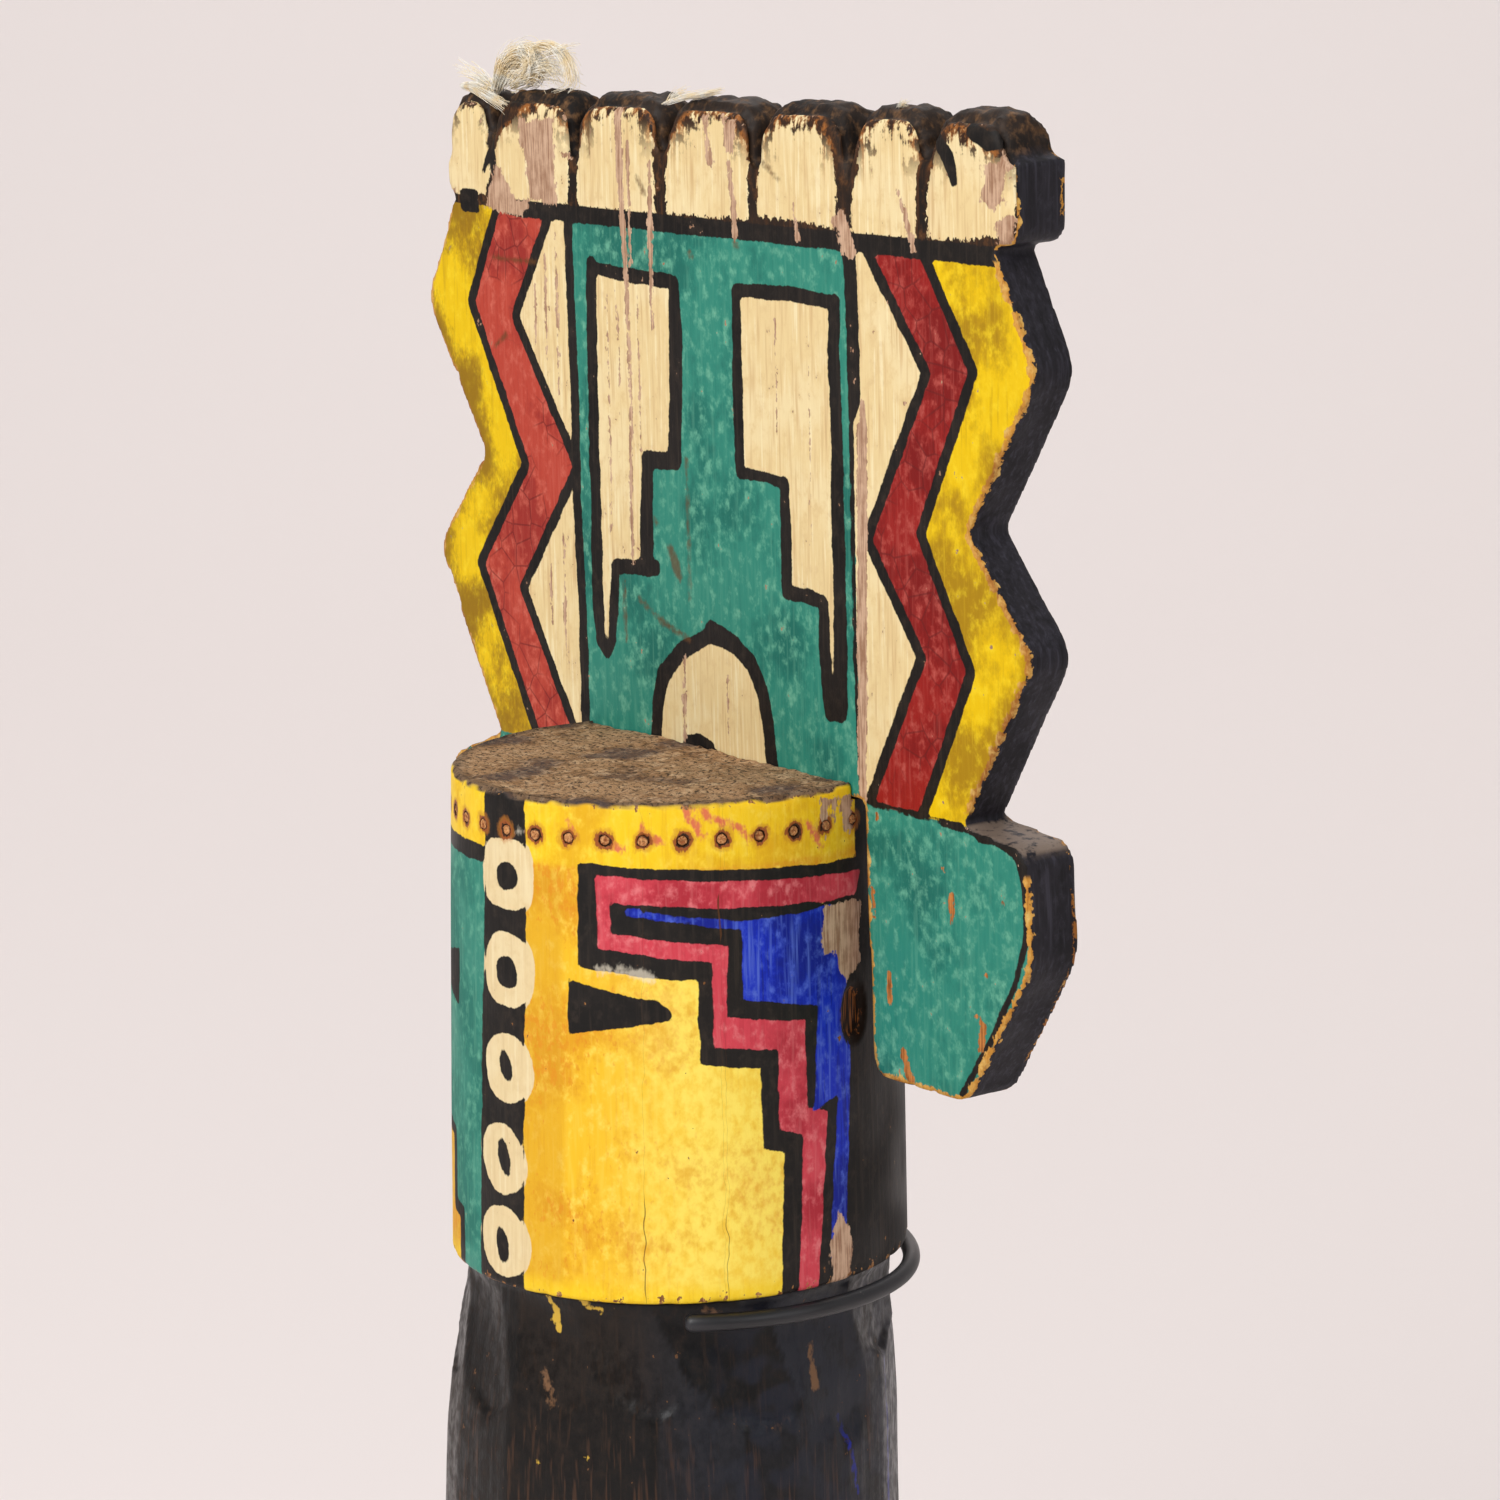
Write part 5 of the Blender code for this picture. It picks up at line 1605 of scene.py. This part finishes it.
def head_paint(tree, work, height, degrees):
    """The head's layers and all that is smeared on them or lost from them, with a painted highlight and
    painted shade.
    """
    layers = (
        ("yellow", FACE_YELLOW, 0.8, 0.3, 0.5),
        ("red", HEAD_RED, 0.8, 0.3, 0.4),
        ("blue", BLUE, 0.8, 0.7, 0.4),
        ("cream", HEAD_CREAM, 0.4, 0.5, 0.4),
        ("ink", BLACK, 0.6, 0.5, 0.9),
    )
    colour = paint(tree, work, TEAL, 0.7, 0.3)
    for field, colours, blots, streaks, waver in layers:
        layer = paint(tree, work, colours, blots, streaks)
        if field == "yellow":
            strip = both(tree, between(tree, degrees, 26.0, 22.6), between(tree, height, 78.0, 76.5))
            layer = blend(tree, both(tree, strip, 0.42), layer, srgb(206, 146, 28))
            orange = maths(tree, "MULTIPLY_ADD", work["Break"], 1.6, work["Wide"])
            layer = blend(tree, between(tree, orange, 0.60, 0.86, 0.0, 0.62), layer, srgb(222, 140, 26))
            # Pale yellow on the lower right of the face, growing toward the right and broken by blots: a
            # painted highlight.
            pale = both(tree, between(tree, height, 77.0, 72.0), between(tree, degrees, 30.0, 62.0))
            pale = both(tree, pale, between(tree, work["Blots"], 0.3, 0.6, 0.3, 0.8))
            layer = blend(tree, pale, layer, srgb(255, 232, 104))
            fresh = either(tree, between(tree, height, 77.4, 78.6), between(tree, height, 5.0, 1.0))
            layer = blend(tree, both(tree, fresh, 0.8), layer, paint(tree, work, FRESH_YELLOW, 0.6, 0.3))
        colour = blend(tree, edge(tree, work, stored(tree, field), waver, 0.6), colour, layer)
    smear = both(tree, edge(tree, work, stored(tree, "smear"), 1.8, 2.6, 0.5), 0.8)
    colour = blend(tree, smear, colour, srgb(212, 76, 84))
    white = both(tree, edge(tree, work, stored(tree, "white"), 1.4, 2.6, 0.6), 0.5)
    colour = blend(tree, white, colour, srgb(236, 226, 204))
    # Round each peg hole: orange and brown rings of stained wood, then a near-black ring at the hole's edge
    # and in it, which is painted shade in the gap round the twig.
    ring = added(tree, stored(tree, "peg"), (work["Break"], 1.8), (work["Waver"], 1.6))
    colour = blend(tree, between(tree, ring, 2.6, 1.8, 0.0, 0.5), colour, srgb(190, 118, 34))
    colour = blend(tree, between(tree, ring, 1.75, 1.5), colour, srgb(150, 82, 36))
    colour = blend(tree, between(tree, ring, 1.2, 1.0), colour, srgb(60, 34, 18))
    bare = edge(tree, work, stored(tree, "bare"), 1.8, 2.2, 0.15)
    near_edge = either(tree, between(tree, height, 3.4, 0.6), between(tree, height, 87.0, 89.2))
    chipped = chips_of(tree, work, maths(tree, "MULTIPLY_ADD", near_edge, 0.42, 0.05))
    colour = blend(tree, bare, colour, wood_of(tree, work))
    colour = blend(tree, chipped, colour, wood_of(tree, work, srgb(190, 140, 84), srgb(118, 72, 34)))
    # The oval recess is filled near black, which is painted shade in the hollow, with orange splinters in it.
    recess = stored(tree, "recess")
    hollow = maths(tree, "MULTIPLY_ADD", work["Break"], 2.2, recess)
    colour = blend(tree, between(tree, hollow, 0.4, -0.1), colour, srgb(30, 19, 12))
    splinters = both(tree, between(tree, hollow, -0.5, -0.9), between(tree, work["Fibres"], 0.46, 0.58))
    colour = blend(tree, splinters, colour, srgb(142, 84, 38))
    across = maths(tree, "MULTIPLY", degrees, DEGREE)
    for turn, low, high, width in HAIR_CRACKS:
        crack = use(tree, hair_crack, {
            "Across": across, "Height": height, "Waver noise": work["Waver"],
            "Place": turn * DEGREE, "Low": low, "High": high, "Width": width})[0]
        colour = blend(tree, both(tree, crack, 0.8), colour, srgb(84, 50, 20))
    return colour


print("layers over the turquoise: yellow, red, blue, cream and black")


# %% [markdown]
# The body is black and was handled most. It shows brown grain where the paint is thin, duller flats
# where the knife went, and a few splashes of yellow and blue from the painting of the head. On its
# right side a bluish tint, and the bluish grey of the flats there, are painted sheen.

# %% The body's black
def body_paint(tree, work, height, degrees):
    """The worn black below the head, with painted sheen on its right side."""
    body = paint(tree, work, BODY_BLACK, 0.6, 0.7)
    grain = both(tree, between(tree, height, -16.0, -34.0), between(tree, work["Streaks"], 0.54, 0.68))
    body = blend(tree, both(tree, grain, 0.6), body, srgb(76, 50, 34))
    # A bluish tint over part of the body's right side, broken up by noise: painted sheen.
    bluish = both(tree, between(tree, degrees, 55.0, 75.0), between(tree, degrees, 150.0, 130.0), 0.35)
    body = blend(tree, both(tree, bluish, between(tree, work["Waver"], -0.1, 0.1)), body, srgb(36, 42, 60))
    body = blend(tree, edge(tree, work, stored(tree, "blue_rub"), 1.2, 2.4, 0.3), body, srgb(18, 30, 140))
    # Each knife flat gets its own lighter tint, brownish on the left; on the right it is bluish grey, which
    # is painted sheen.
    shaved = both(tree, stored(tree, "tone"), between(tree, height, -60.0, -24.0, 0.2, 0.75))
    flat_tint_and_sheen = blend(tree, between(tree, degrees, 35.0, 60.0), srgb(42, 32, 25), srgb(42, 44, 52))
    shaved = both(tree, shaved, between(tree, work["Blots"], 0.3, 0.6, 0.5, 1.0))
    body = blend(tree, shaved, body, flat_tint_and_sheen)
    body = blend(tree, edge(tree, work, stored(tree, "splash"), 1.4, 1.8, 0.2), body, srgb(206, 168, 60))
    body = blend(tree, edge(tree, work, stored(tree, "rub"), 1.8, 2.4, 0.4), body, srgb(118, 86, 60))
    return blend(tree, chips_of(tree, work, 0.12), body, srgb(96, 66, 42))


print("body black:", [round(value, 4) for value in BODY_BLACK[0][:3]])


# %% [markdown]
# The two paints meet at the head's underside. The flat top has no paint: it is end grain under old
# glue and dust, which gives it a dark edge and a rough, speckled middle.

# %% The stick's material
def stick_material():
    material, tree, shader = new_material("painted stick")
    work = use(tree, hand_work, {})
    place = node(tree, "TexCoord").outputs["Object"]
    height, from_axis, degrees = stored(tree, "height"), stored(tree, "from_axis"), stored(tree, "degrees")
    colour, body = head_paint(tree, work, height, degrees), body_paint(tree, work, height, degrees)
    colour = blend(tree, between(tree, height, 0.3, -0.3), colour, body)

    reach = maths(tree, "MULTIPLY_ADD", work["Waver"], 1.6, from_axis)
    top = both(tree, between(tree, height, 88.3, 88.8), between(tree, reach, 40.5, 39.9))
    felt = paint(tree, work, FELT, 1.0, 0.0)
    dark_specks = clouds(tree, place, 0.9, 3.0, 0.75, shift=0.9)
    felt = blend(tree, between(tree, dark_specks, 0.50, 0.60, 0.0, 0.85), felt, srgb(44, 33, 26))
    felt = blend(tree, between(tree, reach, 36.5, 40.0, 0.0, 0.6), felt, srgb(52, 44, 40))
    felt = blend(tree, between(tree, work["Wide"], 0.52, 0.66, 0.0, 0.5), felt, srgb(74, 70, 74))
    colour = blend(tree, top, colour, felt)
    put(tree, shader.inputs["Base Color"], colour)
    matt = between(tree, work["Wide"], 0.3, 0.7, 0.45, 0.68)
    satin = between(tree, work["Blots"], 0.35, 0.65, 0.28, 0.5)
    rough = blend(tree, between(tree, height, 0.3, -0.3), matt, satin)
    put(tree, shader.inputs["Roughness"], either(tree, rough, maths(tree, "MULTIPLY", top, 0.95)))
    relief = maths(tree, "MULTIPLY_ADD", work["Streaks"], 0.5, maths(tree, "MULTIPLY", work["Break"], 0.5))
    relief = maths(tree, "MULTIPLY_ADD", top, maths(tree, "MULTIPLY", dark_specks, -5.0), relief)
    bump = node(tree, "Bump", {"Height": relief, "Strength": 0.5, "Distance": 0.0002})
    put(tree, shader.inputs["Normal"], bump.outputs[0])
    shader.inputs["Specular IOR Level"].default_value = 0.24
    return material


stick.data.materials.append(stick_material())
print("stick material:", len(stick.data.materials[0].node_tree.nodes), "nodes")

# %% [markdown]
# ## Twig, down and steel
#
# A broken twig end is lighter in its middle and dark at the bark. Down is nearly white and
# soft. The stand's black paint is satin, and worn to a duller grey in a few specks.

# %% Twig, down and steel
def twig_material():
    material, tree, shader = new_material("twig")
    work = use(tree, hand_work, {})
    out = maths(tree, "MULTIPLY_ADD", work["Break"], 0.7, stored(tree, "out"))
    colour = blend(tree, between(tree, work["Speck"], 0.35, 0.65), srgb(214, 156, 98), srgb(158, 90, 44))
    colour = blend(tree, between(tree, out, 0.72, 1.05), colour, srgb(74, 40, 20))
    put(tree, shader.inputs["Base Color"], colour)
    put(tree, shader.inputs["Roughness"], between(tree, work["Speck"], 0.3, 0.7, 0.7, 0.9))
    bump = node(tree, "Bump", {"Height": work["Speck"], "Strength": 0.6, "Distance": 0.0002})
    put(tree, shader.inputs["Normal"], bump.outputs[0])
    return material


def down_material():
    material, tree, shader = new_material("feather down")
    place = node(tree, "TexCoord").outputs["Object"]
    tone = clouds(tree, place, 3.0, 3.0, 0.6)
    colour = blend(tree, between(tree, tone, 0.4, 0.62), srgb(255, 252, 242), srgb(252, 234, 196))
    put(tree, shader.inputs["Base Color"], colour)
    put(tree, shader.inputs["Roughness"], between(tree, tone, 0.3, 0.7, 0.8, 0.95))
    bump = node(tree, "Bump", {"Height": clouds(tree, place, 0.3, 2.0), "Strength": 0.2, "Distance": 0.00005})
    put(tree, shader.inputs["Normal"], bump.outputs[0])
    return material


def steel_material():
    material, tree, shader = new_material("black steel")
    work = use(tree, hand_work, {"Grain": 1.0})
    colour = blend(tree, between(tree, work["Wide"], 0.35, 0.65), srgb(26, 26, 29), srgb(40, 40, 44))
    colour = blend(tree, chips_of(tree, work, 0.04), colour, srgb(84, 80, 78))
    put(tree, shader.inputs["Base Color"], colour)
    put(tree, shader.inputs["Roughness"], between(tree, work["Wide"], 0.3, 0.7, 0.34, 0.52))
    bump = node(tree, "Bump", {"Height": work["Speck"], "Strength": 0.15, "Distance": 0.0001})
    put(tree, shader.inputs["Normal"], bump.outputs[0])
    return material


twig_paint = twig_material()
for piece in twig_ends:
    piece.data.materials.append(twig_paint)
down_look = down_material()
for piece in down:
    piece.data.materials.append(down_look)
steel_look = steel_material()
for piece in (wire, rod, plate):
    piece.data.materials.append(steel_look)
print("materials:", ", ".join(material.name for material in bpy.data.materials))

# %% [markdown]
# ## Floor, light and camera
#
# The object stands on a plain pale sweep: a floor that curves up into a wall far behind. Soft light
# comes from the left of the camera and a little above, with a weaker one from the right.

# %% The floor
def sweep_mesh():
    depth = [-6.0, -3.0, 0.0, 2.0]
    path = [(d, 0.0) for d in depth]
    for turn in np.radians(np.arange(5, 91, 5)):
        path.append((2.0 + 1.5 * math.sin(turn), 1.5 - 1.5 * math.cos(turn)))
    path.append((3.5, 8.0))
    points = []
    for away, up in path:
        for side in (-8.0, 8.0):
            points.append((side * 1000, away * 1000, up * 1000 - HEAD_BASE))
    return build_mesh("sweep", points, grid_faces(len(path), 2, closed=False))


CAMERA_AZIMUTH = math.radians(52.827)
sweep = bpy.data.objects.new("sweep", sweep_mesh())
sweep.rotation_euler = (0, 0, CAMERA_AZIMUTH)
bpy.context.scene.collection.objects.link(sweep)
material, tree, shader = new_material("pale sweep")
shader.inputs["Base Color"].default_value = srgb(236, 228, 226)
shader.inputs["Roughness"].default_value = 0.9
sweep.data.materials.append(material)
print("sweep:", len(sweep.data.polygons), "faces")

# %% [markdown]
# A large square light is soft, as a studio's is. The key stands to the left of the camera, a weak
# fill to its right, and one above the far floor keeps the backdrop pale.

# %% Light
def add_light(name, azimuth, elevation, distance, size, watts, straight_down=False):
    """A square soft light that looks at the head from this direction, or straight down."""
    data = bpy.data.lights.new(name, "AREA")
    data.shape = "SQUARE"
    data.size = size
    data.energy = watts
    lamp = bpy.data.objects.new(name, data)
    turn, lift = math.radians(azimuth), math.radians(elevation)
    back = Vector((math.sin(turn) * math.cos(lift), -math.cos(turn) * math.cos(lift), math.sin(lift)))
    lamp.location = Vector((0, 0, 0.34)) + back * distance
    lamp.rotation_mode = "QUATERNION"
    lamp.rotation_quaternion = (Vector((0, 0, -1)) if straight_down else -back).to_track_quat("-Z", "Y")
    bpy.context.scene.collection.objects.link(lamp)


add_light("key", 15.0, 38.0, 1.8, 1.2, 25.5)
add_light("fill", 100.0, 25.0, 2.2, 1.4, 6.0)
add_light("backdrop", 52.8 + 180.0, 50.0, 3.2, 3.0, 46.0, straight_down=True)
WORLD_STRENGTH = 0.44
world = bpy.data.worlds.new("studio")
world.use_nodes = True
world.node_tree.nodes["Background"].inputs["Color"].default_value = srgb(240, 236, 234)
world.node_tree.nodes["Background"].inputs["Strength"].default_value = WORLD_STRENGTH
bpy.context.scene.world = world
bpy.context.scene.view_settings.view_transform = "Standard"
print("lights: 3, and the room's own at", WORLD_STRENGTH)

# %% [markdown]
# The camera stands to the face's left side and a little above, and looks level with the upper part
# of the object. A long lens keeps the board's two zigzag sides nearly the same size.

# %% The camera
camera_data = bpy.data.cameras.new("camera")
camera_data.lens = 117.54
camera_data.sensor_width = 36.0
camera_data.clip_end = 100.0
camera = bpy.data.objects.new("camera", camera_data)
bpy.context.scene.collection.objects.link(camera)
azimuth, elevation, roll = CAMERA_AZIMUTH, math.radians(11.459), math.radians(-1.269)
right = Vector((math.cos(azimuth), math.sin(azimuth), 0))
level = math.cos(elevation)
back = Vector((math.sin(azimuth) * level, -math.cos(azimuth) * level, math.sin(elevation)))
up = back.cross(right)
image_right = math.cos(roll) * right + math.sin(roll) * up
image_up = math.cos(roll) * up - math.sin(roll) * right
turned = Matrix((image_right, image_up, back)).transposed().to_4x4()
camera.matrix_world = Matrix.Translation((0.6969, -0.5109, 0.5210)) @ turned
bpy.context.scene.camera = camera
print("camera at", [round(value, 3) for value in camera.location])

# %% [markdown]

# %% [markdown]
# The finished pieces took the places of the imported part's plain ones as they were made, all on the body
# named root. Last, the meshes are counted.

# %% The end
print("meshes made or loaded:", len(bpy.data.meshes))
